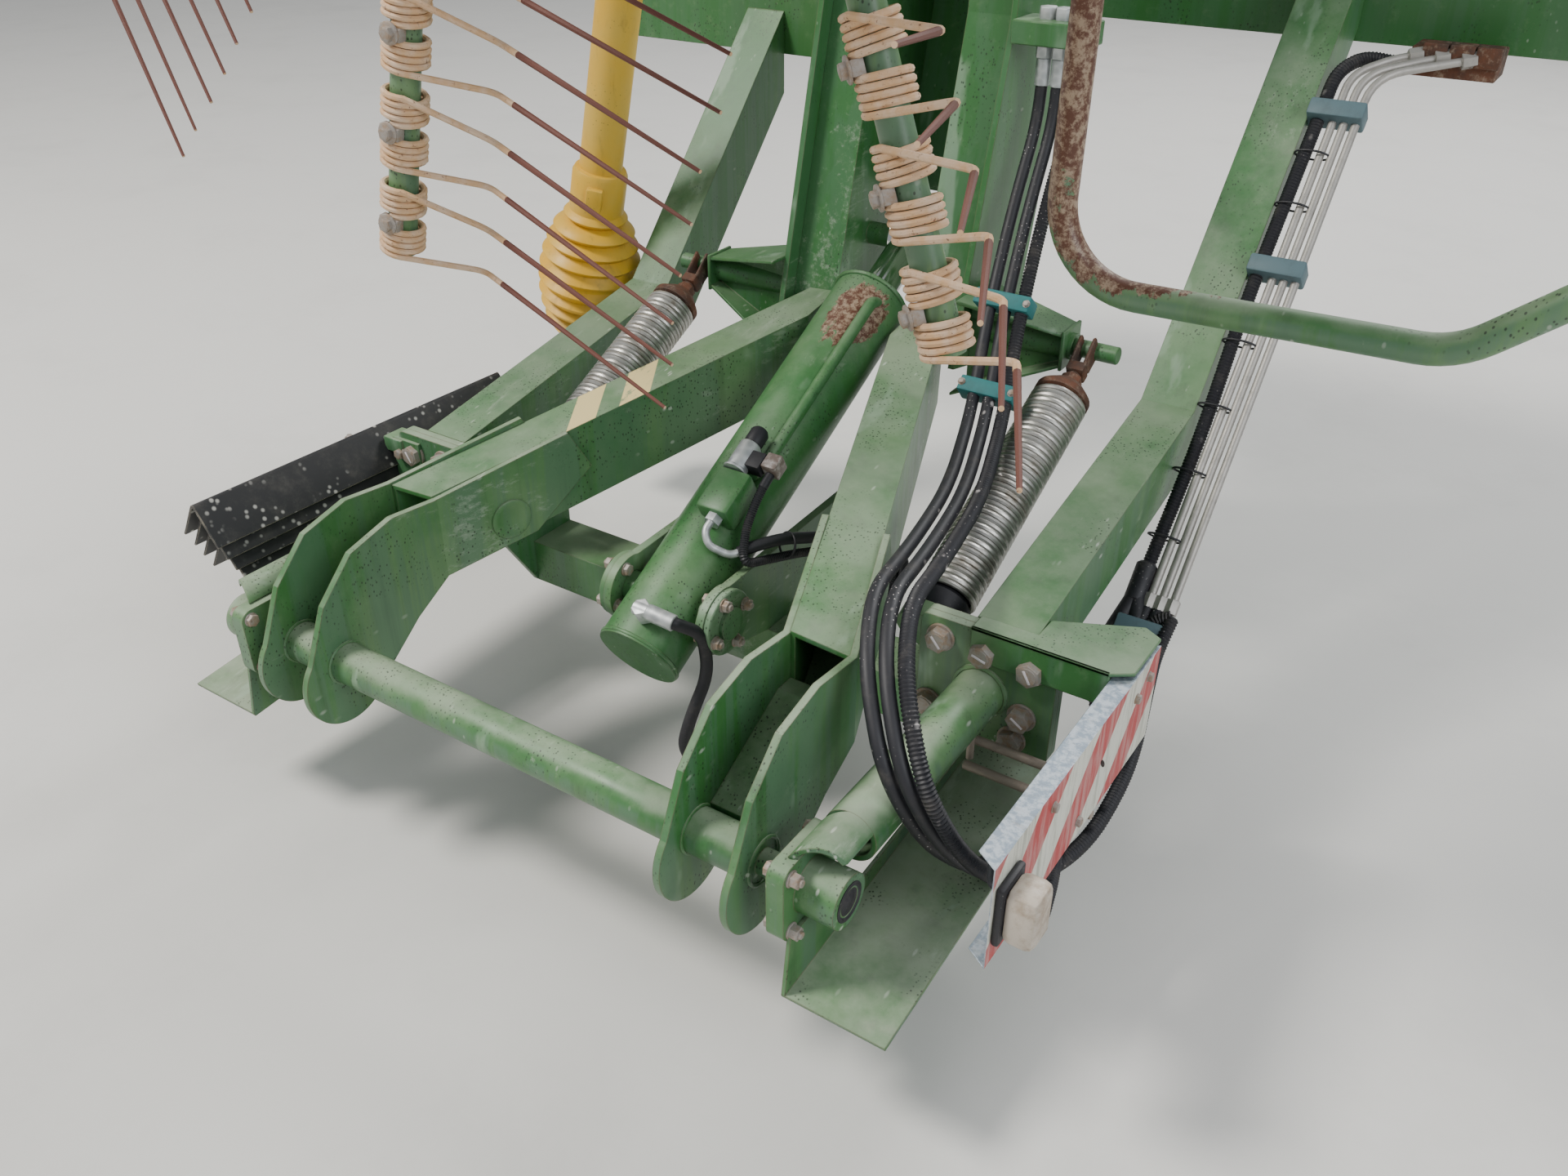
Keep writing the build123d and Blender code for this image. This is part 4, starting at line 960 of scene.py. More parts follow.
class RAKE_OT_joints(bpy.types.Operator):
    """Bolts, lips, welds and bosses round the fold joint"""

    bl_idname = "rake.joints"
    bl_label = "Fold joint"

    def execute(self, context):
        bolts = bmesh.new()
        strokes = bmesh.new()
        nuts = bmesh.new()
        trim = bmesh.new()
        rubbers = bmesh.new()
        bosses = bmesh.new()
        for sign in SIGNS:
            for x, height, turn, marked in FLANGE_BOLTS:
                spot = at(sign * x, FLANGE_FRONT, height)
                add_bolt(bolts, spot, (0, -1, 0), turn=turn)
                add_bolt(bolts, at(sign * x, FLANGE_BACK, height), (0, 1, 0), nut=True, head=0.02,
                         turn=turn)
                if marked:
                    stroke = facing(spot - Vector((0, 0.0205, 0)), (0, -1, 0))
                    stroke = stroke @ Matrix.Rotation(turn + 0.4, 4, "Z")
                    add_block(strokes, stroke, (0.0042, 0.024, 0.0006), 0.0002)
            for y in (-0.047, 0.047):
                for z in (-0.047, 0.047):
                    add_bolt(nuts, at(sign * BEARING_FACE, y, z), (sign, 0, 0), 0.019, 0.012, 0.0125,
                             y * 9 + z, True, 0.0025)
                    add_bolt(nuts, at(sign * 0.530, y, z), (-sign, 0, 0), 0.019, 0.0075, 0.0125, z, False,
                             0.0025)
            add_turned(rubbers, facing(at(sign * 0.6165, 0, 0), (sign, 0, 0)),
                       [(0, 0.0), (0.030, 0.0), (0.030, 0.0035), (0.0255, 0.0045), (0.022, 0.002),
                        (0.013, 0.002),
                        (0.011, 0.0035), (0, 0.0035)], 36)
            self.lip(trim, sign)
            add_ring(trim, at(sign * 0.58, FLANGE_FRONT - 0.001, 0.047), (0, 1, 0), 0.0425, 0.0055, 0.15)
            self.boss(bosses, sign)
        piece("flange_bolts", bolts, finish(dusty_bolt, 0.5), "frame")
        piece("marker_strokes", strokes, finish(plain, "marker_stroke", (0.72, 0.66, 0.68), 0.7), "frame")
        piece("bearing_nuts", nuts, finish(dusty_bolt, 1.0), "frame")
        piece("bearing_rubbers", rubbers, finish(rubber, 0.1), "frame")
        piece("fork_bosses", bosses, finish(green_paint, 0.6, 0.5, 0.5), "arm")
        arm_trim = bmesh.new()
        for sign in SIGNS:
            for x in FORK_FACES:
                add_ring(arm_trim, at(sign * x, 0, 0), (1, 0, 0), 0.036, 0.0035, 0.2)
        piece("fork_welds", arm_trim, finish(green_paint, 0.6, 0.6, 0.5), "arm")
        piece("hinge_lips", trim, finish(green_paint, 0.75, 0.85, 0.8), "frame")
        return {"FINISHED"}

    def lip(self, bm, sign):
        """Upper shell of the hinge arm's tube, run on over the bearing with a slanting end."""
        outer, inner, middle = 0.041, 0.033, at(sign * 0.58, 0, 0.047)
        angles = [math.radians(28 + 124 * i / 14) for i in range(15)]
        section = [middle + Vector((outer * math.cos(a), 0.0401, outer * math.sin(a))) for a in angles]
        section += [middle + Vector((inner * math.cos(a), 0.0401, inner * math.sin(a)))
                    for a in reversed(angles)]
        for corner in section:
            corner.y -= 0.04 + 0.45 * (outer - sign * (corner.x - middle.x))
        add_plate(bm, section, Vector((0, 0.085, 0)), 0.0008)

    def boss(self, bm, sign):
        """Round boss on the inner fork plate, where it lies on the box."""
        splay = math.radians(20)
        corner = at(sign * FORK_FACES[0], 0.238, 0)
        along = Vector((-sign * math.sin(splay), math.cos(splay), 0))
        inward = Vector((-sign * math.cos(splay), -math.sin(splay), 0))
        centre = corner + along * 0.131 + Vector((0, 0, 0.119))
        add_turned(bm, facing(centre, inward),
                   [(0, 0.003), (0.024, 0.003), (0.028, 0.0045), (0.036, 0.0045),
                    (0.038, 0.003), (0.038, 0)], 44)


COLUMN_FACE = 0.2045
HOSE_LINE = (
    # x, reach, height of the hose nearest the fork
    (0.254, 1.222, 0.8497), (0.254, 1.222, 0.722), (0.262, 1.124, 0.572), (0.288, 1.004, 0.424),
    (0.330, 0.878, 0.301), (0.396, 0.672, 0.256), (0.434, 0.480, 0.254), (0.468, 0.298, 0.272),
    (0.526, 0.182, 0.234), (0.602, 0.104, 0.140), (0.654, 0.134, 0.020), (0.698, 0.230, -0.092),
    (0.744, 0.376, -0.102), (0.744, 0.545, -0.070), (0.706, 0.705, -0.026),
)
HOSES = (
    # shift along x, radius, corrugated, x and reach of the end where a pipe begins
    (0.0, 0.011, False, 0.696, 0.884), (0.030, 0.011, False, 0.716, 0.884),
    (0.061, 0.0125, True, 0.746, 0.866),
)
PIPE_FOOT = (0.880, 0.014)
PIPE_HEAD = (1.600, 0.786)
PIPES = (
    # x, radius, corrugated
    (0.670, 0.013, True), (0.696, 0.0075, False), (0.716, 0.0075, False), (0.736, 0.0075, False),
)


class RAKE_OT_hydraulics(bpy.types.Operator):
    """Hoses round the fold joint and the pipes on the outer beam"""

    bl_idname = "rake.hydraulics"
    bl_label = "Hydraulics"

    def execute(self, context):
        bend = ("frame", "arm", at(0.65, 0.13, -0.06), at(0.65, 0.13, 0.23))
        smooth = bmesh.new()
        ribbed = bmesh.new()
        for shift, radius, corrugated, end_x, end_reach in HOSES:
            points = [at(x + shift, reach, height) for x, reach, height in HOSE_LINE]
            points += [at(end_x, end_reach - 0.07, -0.026), at(end_x, end_reach, 0.016)]
            if corrugated:
                add_conduit(ribbed, points, radius, 0.006)
            else:
                add_hose(smooth, points, radius)
        piece("fold_hoses", smooth, finish(rubber, 0.9), None, (), bend)
        piece("fold_conduit", ribbed, finish(rubber, 0.7), None, (), bend)
        self.column_fittings()
        self.pipes()
        return {"FINISHED"}

    def column_fittings(self):
        """Bulkhead on the column and the clamps on the box arm that hold the hoses."""
        bm = bmesh.new()
        add_plate(bm, [at(COLUMN_FACE, reach, height) for reach, height in
                       ((1.180, 0.85), (1.264, 0.85), (1.264, 0.89), (1.180, 0.89))], Vector((0.138, 0, 0)),
                  0.002)
        piece("hose_bulkhead", bm, finish(green_paint, 0.35, 0.4, 0.4), "arm")
        nuts = bmesh.new()
        for shift, radius, *_ in HOSES:
            add_prism(nuts, facing(at(0.254 + shift, 1.222, 0.85), (0, 0, -1)), 0.017, 0.024, 6, 0.002)
            add_rod(nuts, at(0.254 + shift, 1.222, 0.826), at(0.254 + shift, 1.222, 0.78), radius + 0.0025)
            add_prism(nuts, facing(at(0.254 + shift, 1.222, 0.89), (0, 0, 1)), 0.017, 0.02, 6, 0.002)
        piece("bulkhead_fittings", nuts, finish(zinc, 0.5), "arm")
        clamps = bmesh.new()
        screws = bmesh.new()
        for x, reach, height, lean in ((0.322, 0.905, 0.325, 0.72), (0.284, 1.024, 0.446, 0.9)):
            turn = facing(at(x + 0.026, reach, height), Vector((0, -math.cos(lean), -math.sin(lean))),
                          (1, 0, 0))
            add_block(clamps, turn, (0.042, 0.108, 0.03), 0.004)
            for across in (-0.048, 0.048):
                add_bolt(screws, turn @ Vector((-0.021, across, 0)), turn.to_3x3() @ Vector((-1, 0, 0)),
                         0.01, 0.004, 0.007,
                         thick=0.001)
        piece("hose_clamps", clamps, finish(plain, "clamp_teal", (0.02, 0.16, 0.16), 0.55, 0.0, 0.5), "arm")
        piece("clamp_screws", screws, finish(dusty_bolt, 0.7), "arm")

    def pipes(self):
        """Rigid pipes, a conduit and their clamps along the right outer beam."""
        metal = bmesh.new()
        black = bmesh.new()
        teal = bmesh.new()
        ties = bmesh.new()
        blocks = bmesh.new()
        add_block(blocks, Matrix.Translation(at(0.85, 1.72, 0.806)), (0.15, 0.09, 0.05), 0.003)
        foot = Vector((0, *PIPE_FOOT))
        head = Vector((0, *PIPE_HEAD))
        way = (head - foot).normalized()
        boot = FOLD_AXIS + foot + Vector((0.670, 0, 0))
        for push in (-0.016, 0.03):
            add_rod(black, boot + Vector((push, -0.052, -0.042)), boot + way * 0.02, 0.0155, 0.004)
        add_rod(black, boot, boot + way * 0.075, 0.019, 0.005)
        add_conduit(black, [boot + Vector((0.03, -0.052, -0.042)), boot + Vector((0.05, -0.02, -0.01)),
                            at(0.746, 0.866, 0.016)],
                    0.0135, 0.006)
        add_conduit(black, [boot + Vector((-0.016, -0.052, -0.042)), boot + Vector((-0.02, -0.1, -0.07)),
                            boot + Vector((0.03, -0.2, -0.12))], 0.0135, 0.006)
        add_block(teal, facing(at(0.70, 0.846, -0.016), way, (1, 0, 0)), (0.045, 0.085, 0.034), 0.004)
        for order, (x, radius, corrugated) in enumerate(PIPES):
            points = [FOLD_AXIS + foot + Vector((x, 0, 0)), FOLD_AXIS + head + Vector((x, 0, 0))]
            swing = points[1] + Vector((0.03 + 0.025 * order, 0.055, 0.022))
            port = swing + Vector((0.045, 0.02, 0.01))
            if corrugated:
                line = [points[0], points[0].lerp(points[1], 0.3) + Vector((0.006, 0.004, -0.004)),
                        points[0].lerp(points[1], 0.55) + Vector((-0.004, 0, 0)), points[1], swing,
                        swing + Vector((0.12, 0.05, -0.02))]
                add_conduit(black, line, radius, 0.006)
            else:
                add_hose(metal, [points[0], points[1], swing, port], radius, 14)
                add_prism(metal, facing(points[0] - way * 0.002, way), radius * 1.7, 0.026, 6, 0.0015)
                add_prism(metal, facing(port, swing - port), radius * 1.9, 0.024, 6, 0.0015)
                add_block(blocks, Matrix.Translation(port + Vector((0.02, 0.008, 0.004))),
                          (0.042, 0.036, 0.036), 0.002)
        for share in (0.62, 0.92):
            centre = FOLD_AXIS + foot.lerp(head, share) + Vector((0.6985, 0, 0))
            turn = facing(centre, way, (1, 0, 0))
            add_block(teal, turn, (0.05, 0.1, 0.034), 0.005)
        for share in (0.12, 0.24, 0.36, 0.48, 0.74, 0.84):
            centre = FOLD_AXIS + foot.lerp(head, share) + Vector((0.682, 0, 0))
            turn = facing(centre, way, (1, 0, 0))
            points = [turn @ Vector((0.0155 * math.cos(a), 0.031 * math.sin(a), 0)) for a in
                      (FULL_TURN * i / 24 for i in range(24))]
            add_line(ties, points, 0.002, sides=6, cyclic=True)
            add_block(ties, turn @ Matrix.Translation((-0.0165, 0.008, 0)), (0.007, 0.008, 0.006), 0.001)
        piece("beam_pipes", metal, finish(plain, "pipe_zinc", (0.42, 0.40, 0.37), 0.42, 0.6, 0.35), "frame")
        piece("valve_block", blocks, finish(bare_steel, 0.8), "frame")
        piece("beam_conduit", black, finish(rubber, 0.25), "frame")
        piece("pipe_clamps", teal, finish(plain, "clamp_grey", (0.09, 0.15, 0.17), 0.5, 0.0, 0.5), "frame")
        piece("pipe_ties", ties, finish(rubber, 0.0), "frame")
        rods = bmesh.new()
        for x, reach, height in ((0.60, 0.41, -0.012), (0.60, 0.372, -0.034)):
            add_rod(rods, at(x, reach, height), at(0.8085, reach, height), 0.0075)
        add_rod(rods, at(0.60, 0.391, -0.035), at(0.60, 0.391, 0.01), 0.006)
        piece("board_rods", rods, finish(plain, "rod_zinc", (0.36, 0.3, 0.25), 0.5, 0.5, 0.5), "frame")


SHAFT_FOOT = at(-0.850, 1.163, 0.084)
SHAFT_HEAD = at(-0.330, 1.140, 2.200)
FOOT_NECK = Vector((0.2, 0.5, -0.84)).normalized()
HEAD_NECK = Vector((0.1, 0.45, 0.9)).normalized()
GEARBOX = 0.150


class RAKE_OT_shaft(bpy.types.Operator):
    """Drive shaft with its guard, joints and gearboxes"""

    bl_idname = "rake.shaft"
    bl_label = "Drive shaft"

    def cone(self, bm, joint, way, length, end, middle, ribs):
        """Ribbed guard cone that starts at a joint."""
        profile = [(end * 0.8, 0.018), (end, 0.018)]
        for rib in range(ribs):
            share = (rib + 0.5) / ribs
            radius = end + (middle - end) * math.sin(math.pi * share) ** 0.5
            foot = 0.018 + length * rib / ribs
            step = length / ribs
            profile += [(radius - 0.013, foot + step * 0.12), (radius - 0.002, foot + step * 0.42),
                        (radius, foot + step * 0.5), (radius - 0.002, foot + step * 0.58),
                        (radius - 0.013, foot + step * 0.9)]
        profile += [(end + 0.008, 0.018 + length), (end * 0.8, 0.02 + length)]
        add_turned(bm, facing(joint, way), profile, 56)

    def gearbox(self, bm, joint, neck):
        """Ribbed housing, its neck and the bolts of its cover; returns its middle."""
        middle = joint + neck * 0.165
        add_block(bm, Matrix.Translation(middle), (GEARBOX, GEARBOX, GEARBOX), 0.016)
        add_rod(bm, joint + neck * 0.036, middle, 0.045, 0.004, 32)
        add_rod(bm, joint + neck * 0.078, joint + neck * 0.098, 0.058, 0.002, 32)
        for push in ((1, 0, 0), (-1, 0, 0), (0, -1, 0), (0, 0, 1)):
            push = Vector(push)
            add_turned(bm, facing(middle + push * GEARBOX / 2, push),
                       [(0, 0.006), (0.05, 0.006), (0.053, 0), (0.05, -0.002)], 36)
            for corner in range(4):
                spot = facing(middle + push * (GEARBOX / 2 + 0.005),
                              push) @ Matrix.Rotation(math.radians(45 + 90 * corner), 4, "Z")
                add_prism(bm, spot @ Matrix.Translation((0.042, 0, 0)), 0.0085, 0.007, 6, 0.001)
        return middle

    def execute(self, context):
        way = (SHAFT_HEAD - SHAFT_FOOT).normalized()
        length = (SHAFT_HEAD - SHAFT_FOOT).length
        guard = bmesh.new()
        self.cone(guard, SHAFT_FOOT, way, 0.325, 0.044, 0.118, 10)
        self.cone(guard, SHAFT_HEAD, -way, 0.163, 0.042, 0.078, 5)
        place = facing(SHAFT_FOOT, way)
        add_turned(guard, place, [(0.044, 0.330), (0.060, 0.335), (0.062, 0.345), (0.062, 0.425),
                                  (0.057, 0.435), (0.048, 0.437),
                                  (0.048, 1.848), (0.046, 1.85), (0.041, 1.85), (0.040, 1.84)], 48)
        for turn in (0.6, 0.6 + math.pi):
            tab = place @ Matrix.Rotation(turn, 4, "Z") @ Matrix.Translation((0.068, 0, 0.388))
            add_block(guard, tab, (0.018, 0.036, 0.05), 0.003)
        add_turned(guard, place, [(0.040, 1.80), (0.040, length - 0.19), (0.047, length - 0.185),
                                  (0.047, length - 0.176)], 44)
        piece("drive_shaft_guard", guard, finish(guard_plastic, 0.55), "arm")
        joints = bmesh.new()
        for joint, turn in ((SHAFT_FOOT, way), (SHAFT_HEAD, -way)):
            add_turned(joints, facing(joint, turn),
                       [(0, -0.036), (0.02, -0.034), (0.034, -0.02), (0.036, 0), (0.034, 0.02),
                        (0.024, 0.036), (0.024, 0.05), (0, 0.05)], 28)
        piece("drive_shaft_joints", joints, finish(bare_steel, 0.5), "arm")
        foot = bmesh.new()
        middle = self.gearbox(foot, SHAFT_FOOT, FOOT_NECK)
        beam_face = -0.649
        low = middle - Vector((0, 0, GEARBOX / 2))
        face = middle.y + GEARBOX / 2 - 0.01
        top = at(beam_face, 0, 0.46).z
        bottom = at(beam_face, 0, 0.33).z
        add_plate(foot, [Vector((beam_face, face, top)), Vector((beam_face, face, bottom)),
                         Vector((middle.x, face, low.z)),
                         Vector((middle.x, face, low.z + GEARBOX))], Vector((0, 0.02, 0)), 0.002)
        piece("foot_gearbox", foot, finish(green_paint, 0.4, 0.5, 0.5), "frame")
        head = bmesh.new()
        middle = self.gearbox(head, SHAFT_HEAD, HEAD_NECK)
        add_block(head, Matrix.Translation(((middle.x - 0.204) / 2, middle.y - 0.02, middle.z)),
                  (abs(middle.x + 0.204), 0.13, 0.1), 0.004)
        piece("head_gearbox", head, finish(green_paint, 0.35, 0.4, 0.4), "arm")
        return {"FINISHED"}


BOARD_X = 0.810
BOARD_NEAR = 0.013
BOARD_FAR = 0.577
BOARD_TOP = 0.149
BOARD_LOW = -0.021


class RAKE_OT_boards(bpy.types.Operator):
    """Warning board with its bracket and lamp, and the stowed guard strips"""

    bl_idname = "rake.boards"
    bl_label = "Boards and strips"

    def execute(self, context):
        self.board()
        self.bracket()
        self.strips()
        return {"FINISHED"}

    def board(self):
        thick = 0.002
        corner = 0.02
        front = BOARD_X
        bm = bmesh.new()
        sheet = ((BOARD_NEAR, BOARD_LOW), (BOARD_FAR, BOARD_LOW), (BOARD_FAR, BOARD_TOP),
                 (BOARD_NEAR, BOARD_TOP))
        add_plate(bm, [at(front, y, z) for y, z in sheet], Vector((-thick, 0, 0)), 0.0006)
        for height in (BOARD_LOW, BOARD_TOP - thick):
            add_plate(bm, [at(front - thick * 0.5, BOARD_NEAR, height),
                           at(front - thick * 0.5, BOARD_FAR, height),
                           at(front - 0.032, BOARD_FAR - corner, height),
                           at(front - 0.032, BOARD_NEAR + corner, height)],
                      Vector((0, 0, thick)), 0.0005)
        piece("board_sheet", bm, finish(board_sheet), "frame", ["warning_board"])
        bolts = bmesh.new()
        for y, z in ((0.535, 0.118), (0.49, 0.105), (0.30, 0.010), (0.19, 0.118)):
            add_bolt(bolts, at(front, y, z), (1, 0, 0), 0.013, 0.0055, 0.0085, y * 5, thick=0.0012)
        piece("board_bolts", bolts, finish(dusty_bolt, 0.9), "frame")
        # Painted shade: a thin near-black ellipse laid on the board's face stands for the shade seen
        # through the board's slot.
        slot_shade = bmesh.new()
        add_turned(slot_shade, facing(at(front - 0.0002, 0.375, 0.062), (1, 0, 0)) @ Matrix.Rotation(0.7, 4, "Z")
                   @ Matrix.Diagonal((0.45, 1.6, 1, 1)), [(0, 0.0009), (0.0085, 0.0009), (0.0095, 0.0)], 24)
        piece("board_slot_shade", slot_shade, finish(plain, "slot_dark", (0.025, 0.015, 0.012), 0.9), "frame")
        lens = bmesh.new()
        base = bmesh.new()
        centre = at(front, BOARD_NEAR + 0.04, (BOARD_TOP + BOARD_LOW) / 2)
        add_block(base, Matrix.Translation(centre + Vector((0.006, 0, 0))), (0.011, 0.066, 0.096), 0.004)
        add_block(lens, Matrix.Translation(centre + Vector((0.032, 0, 0))), (0.046, 0.058, 0.086), 0.013)
        piece("lamp_lens", lens, finish(lamp_lens), "frame", ["warning_lamp"])
        piece("lamp_base", base, finish(rubber, 0.2), "frame")
        cable = bmesh.new()
        add_hose(cable, [centre + Vector((-0.002, 0.01, 0)), centre + Vector((-0.03, 0.02, -0.004)),
                         centre + Vector((-0.06, 0.09, -0.03)), centre + Vector((-0.062, 0.2, -0.066)),
                         centre + Vector((-0.066, 0.32, -0.15))], 0.0035, 8)
        piece("lamp_cable", cable, finish(rubber, 0.1), "frame")
        conduit = bmesh.new()
        add_conduit(conduit, [at(0.772, 0.34, -0.088), at(0.80, 0.26, -0.07), at(0.822, 0.17, -0.062),
                              at(0.826, 0.12, -0.03),
                              at(0.812, 0.09, 0.02)], 0.011, 0.006)
        piece("board_conduit", conduit, finish(rubber, 0.4), "frame")

    def bracket(self):
        """Plate folded over the flange that carries the board."""
        thick = 0.006
        top = 0.155
        bm = bmesh.new()
        add_plate(bm, [at(0.557, FLANGE_FRONT - thick, top + thick),
                       at(0.778, FLANGE_FRONT - thick, top + thick),
                       at(0.778, FLANGE_FRONT - thick, top - 0.053),
                       at(0.557, FLANGE_FRONT - thick, top - 0.053)],
                  Vector((0, thick, 0)), 0.0015)
        add_plate(bm, [at(0.557, FLANGE_FRONT - thick, top), at(0.778, FLANGE_FRONT - thick, top),
                       at(0.808, 0.47, top),
                       at(0.808, 0.577, top), at(0.778, 0.594, top), at(0.6505, 0.532, top),
                       at(0.6505, FLANGE_BACK, top),
                       at(0.557, FLANGE_BACK, top)], Vector((0, 0, thick)), 0.0015)
        piece("folded_bracket", bm, finish(green_paint, 0.6, 0.7, 0.5), "frame",
              ["board_bracket"])

    def strips(self):
        """Black angle strips in their bracket beside the left floor guard."""
        bm = bmesh.new()
        lie = random.Random(3)
        for strip in range(4):
            drop = strip * 0.028
            near = at(-0.755 + lie.uniform(-0.003, 0.003), 0.030 + 0.012 * strip, 0.162 - drop)
            far = at(-0.755, 0.785, 0.150 - drop)
            section = ((-0.050, -0.073), (-0.005, -0.003), (0, 0), (0.005, -0.003), (0.050, -0.073),
                       (0.0455, -0.0745),
                       (0.003, -0.0085), (0, -0.0065), (-0.003, -0.0085), (-0.0455, -0.0745))
            add_plate(bm, [near + Vector((x, 0, z)) for x, z in section], far - near, 0.0006)
        piece("guard_strips", bm, finish(strip_black), "frame")
        bm = bmesh.new()
        add_plate(bm, [at(x, FLANGE_FRONT - 0.008, z) for x,
                       z in ((-0.640, 0.0), (-0.640, 0.142), (-0.712, 0.142), (-0.712, 0.0))],
                  Vector((0, 0.008, 0)), 0.001)
        add_block(bm, Matrix.Translation(at(-0.708, FLANGE_FRONT + 0.012, 0.125)), (0.05, 0.05, 0.03),
                  0.003)
        piece("strip_bracket", bm, finish(green_paint, 0.6, 0.7, 0.5), "frame")
        bm = bmesh.new()
        add_bolt(bm, at(-0.69, FLANGE_FRONT - 0.008, 0.112), (0, -1, 0), 0.019, 0.009, 0.013)
        add_bolt(bm, at(-0.762, FLANGE_FRONT - 0.07, 0.146), (0.3, 0, 1), 0.013, 0.006, 0.01)
        piece("strip_bolts", bm, finish(dusty_bolt, 0.6), "frame")


WHEELS = 4


class RAKE_OT_wheels(bpy.types.Operator):
    """Ribbed tyres, dished rims and the bolts of the hubs and the drum"""

    bl_idname = "rake.wheels"
    bl_label = "Wheels and hubs"

    def execute(self, context):
        for number in range(1, WHEELS + 1):
            low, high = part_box(f"tyre_{number}")
            hub = (low + high) / 2
            half = (high.z - low.z) / 2
            radius = (high.x - low.x) / 2
            place = facing(hub, (0, 0, 1))
            profile = [(0.111, -half * 0.86), (0.118, -half), (radius - 0.030, -half),
                       (radius - 0.012, -half + 0.008),
                       (radius - 0.002, -half + 0.024)]
            for groove in (-0.036, -0.012, 0.012, 0.036):
                profile += [(radius, groove - 0.006), (radius - 0.009, groove - 0.0035),
                            (radius - 0.009, groove + 0.0035),
                            (radius, groove + 0.006)]
            profile += [(radius - 0.002, half - 0.024), (radius - 0.012, half - 0.008),
                        (radius - 0.030, half), (0.118, half),
                        (0.111, half * 0.86), (0.111, -half * 0.86)]
            bm = bmesh.new()
            add_turned(bm, place, profile, 64)
            piece(f"tyre_tread_{number}", bm, finish(tyre_rubber), f"wheel_{number}",
                  [f"tyre_{number}"])
            bm = bmesh.new()
            for end in (-1, 1):
                face = facing(hub + Vector((0, 0, end * 0.0601)), (0, 0, end))
                add_turned(bm, face, [(0.016, 0.012), (0.036, 0.012), (0.040, 0.004), (0.046, 0.0)], 32)
                for bolt in range(5):
                    spot = face @ Matrix.Rotation(FULL_TURN * bolt / 5, 4,
                                                  "Z") @ Matrix.Translation((0.068, 0, 0))
                    add_prism(bm, spot, 0.0115, 0.009, 6, 0.001)
            piece(f"hub_{number}", bm, finish(dusty_bolt, 0.5), f"wheel_{number}")
        self.drum()
        return {"FINISHED"}

    def drum(self):
        bolts = bmesh.new()
        ribs = bmesh.new()
        front = ROTOR.y - 0.085
        for index in range(TINE_ARMS):
            out = arm_way(index)
            across = Vector((-out.z, 0, out.x))
            for away in (0.385, 0.435):
                spot = ROTOR + out * away + Vector((0, -0.036, 0))
                add_bolt(bolts, spot, (0, -1, 0), 0.019, 0.008, 0.0125, index, thick=0.002)
            root = Vector((ROTOR.x, front, ROTOR.z)) + out * 0.21
            add_plate(ribs, [root - across * 0.004, root + out * 0.1 - across * 0.004,
                             root + out * 0.1 - across * 0.004 + Vector((0, -0.004, 0)),
                             root - across * 0.004 + Vector((0, -0.03, 0))], across * 0.008, 0.001)
        plate = facing(Vector((ROTOR.x, front, ROTOR.z)), (0, -1, 0))
        add_turned(ribs, plate, [(0.052, 0), (0.21, 0), (0.21, 0.024), (0.2, 0.03), (0.12, 0.034),
                                 (0.052, 0.034)], 48)
        for index in range(8):
            angle = FULL_TURN * index / 8
            add_bolt(bolts, plate @ Vector((0.165 * math.cos(angle), 0.165 * math.sin(angle), 0.0315)),
                     (0, -1, 0), 0.019,
                     0.008, 0.0125, index, thick=0.002)
        piece("drum_cover", ribs, finish(green_paint, 0.3, 0.3, 0.25), "rotor")
        piece("drum_bolts", bolts, finish(dusty_bolt, 0.6), "rotor")


class RAKE_OT_trim(bpy.types.Operator):
    """Small bolts of the arm and the brackets of the relief springs"""

    bl_idname = "rake.trim"
    bl_label = "Trim"

    def execute(self, context):
        bolts = bmesh.new()
        for x, height in ((-0.125, 0.379), (-0.082, 0.311)):
            add_bolt(bolts, at(x, 1.102 + (height - 0.3) * 0.22, height), (0, -1, 0.25), 0.013, 0.007,
                     0.009, x, thick=0.001)
        for sign in SIGNS:
            head = SPRING_HEAD + Vector((sign * SPRING_X, 0, 0))
            add_bolt(bolts, head + Vector((sign * 0.034, 0, 0)), (sign, 0, 0), 0.024, 0.012, 0.016,
                     nut=True, thick=0.002)
        piece("arm_bolts", bolts, finish(dusty_bolt, 0.6), "arm")
        tabs = bmesh.new()
        for sign in SIGNS:
            self.bracket(tabs, sign)
            add_rod(tabs, at(sign * 0.385, 1.128, 0.3515), at(sign * 0.497, 1.128, 0.3515), 0.0165, 0.002)
        piece("spring_brackets", tabs, finish(green_paint, 0.4, 0.35, 0.6), "arm")
        return {"FINISHED"}

    def bracket(self, bm, sign):
        """Channel of plate that narrows from the column's face to the spring's pin."""
        thick = 0.007
        root, end = COLUMN_FACE, 0.398
        upper = [at(sign * root, 1.04, 0.425), at(sign * root, 1.185, 0.425), at(sign * end, 1.165, 0.385),
                 at(sign * end, 1.09, 0.385)]
        add_plate(bm, upper, Vector((0, 0, -thick)), 0.0015)
        lower = [at(sign * root, 1.04, 0.235), at(sign * root, 1.185, 0.235), at(sign * end, 1.165, 0.318),
                 at(sign * end, 1.09, 0.318)]
        add_plate(bm, lower, Vector((0, 0, thick)), 0.0015)
        web = [at(sign * root, 1.11, 0.421), at(sign * root, 1.11, 0.239), at(sign * end, 1.125, 0.322),
               at(sign * end, 1.125, 0.381)]
        add_plate(bm, web, Vector((0, thick, 0)), 0.0015)
        add_plate(bm, [at(sign * end, 1.088, 0.389), at(sign * end, 1.168, 0.389),
                       at(sign * end, 1.168, 0.314),
                       at(sign * end, 1.088, 0.314)], Vector((sign * thick, 0, 0)), 0.0015)


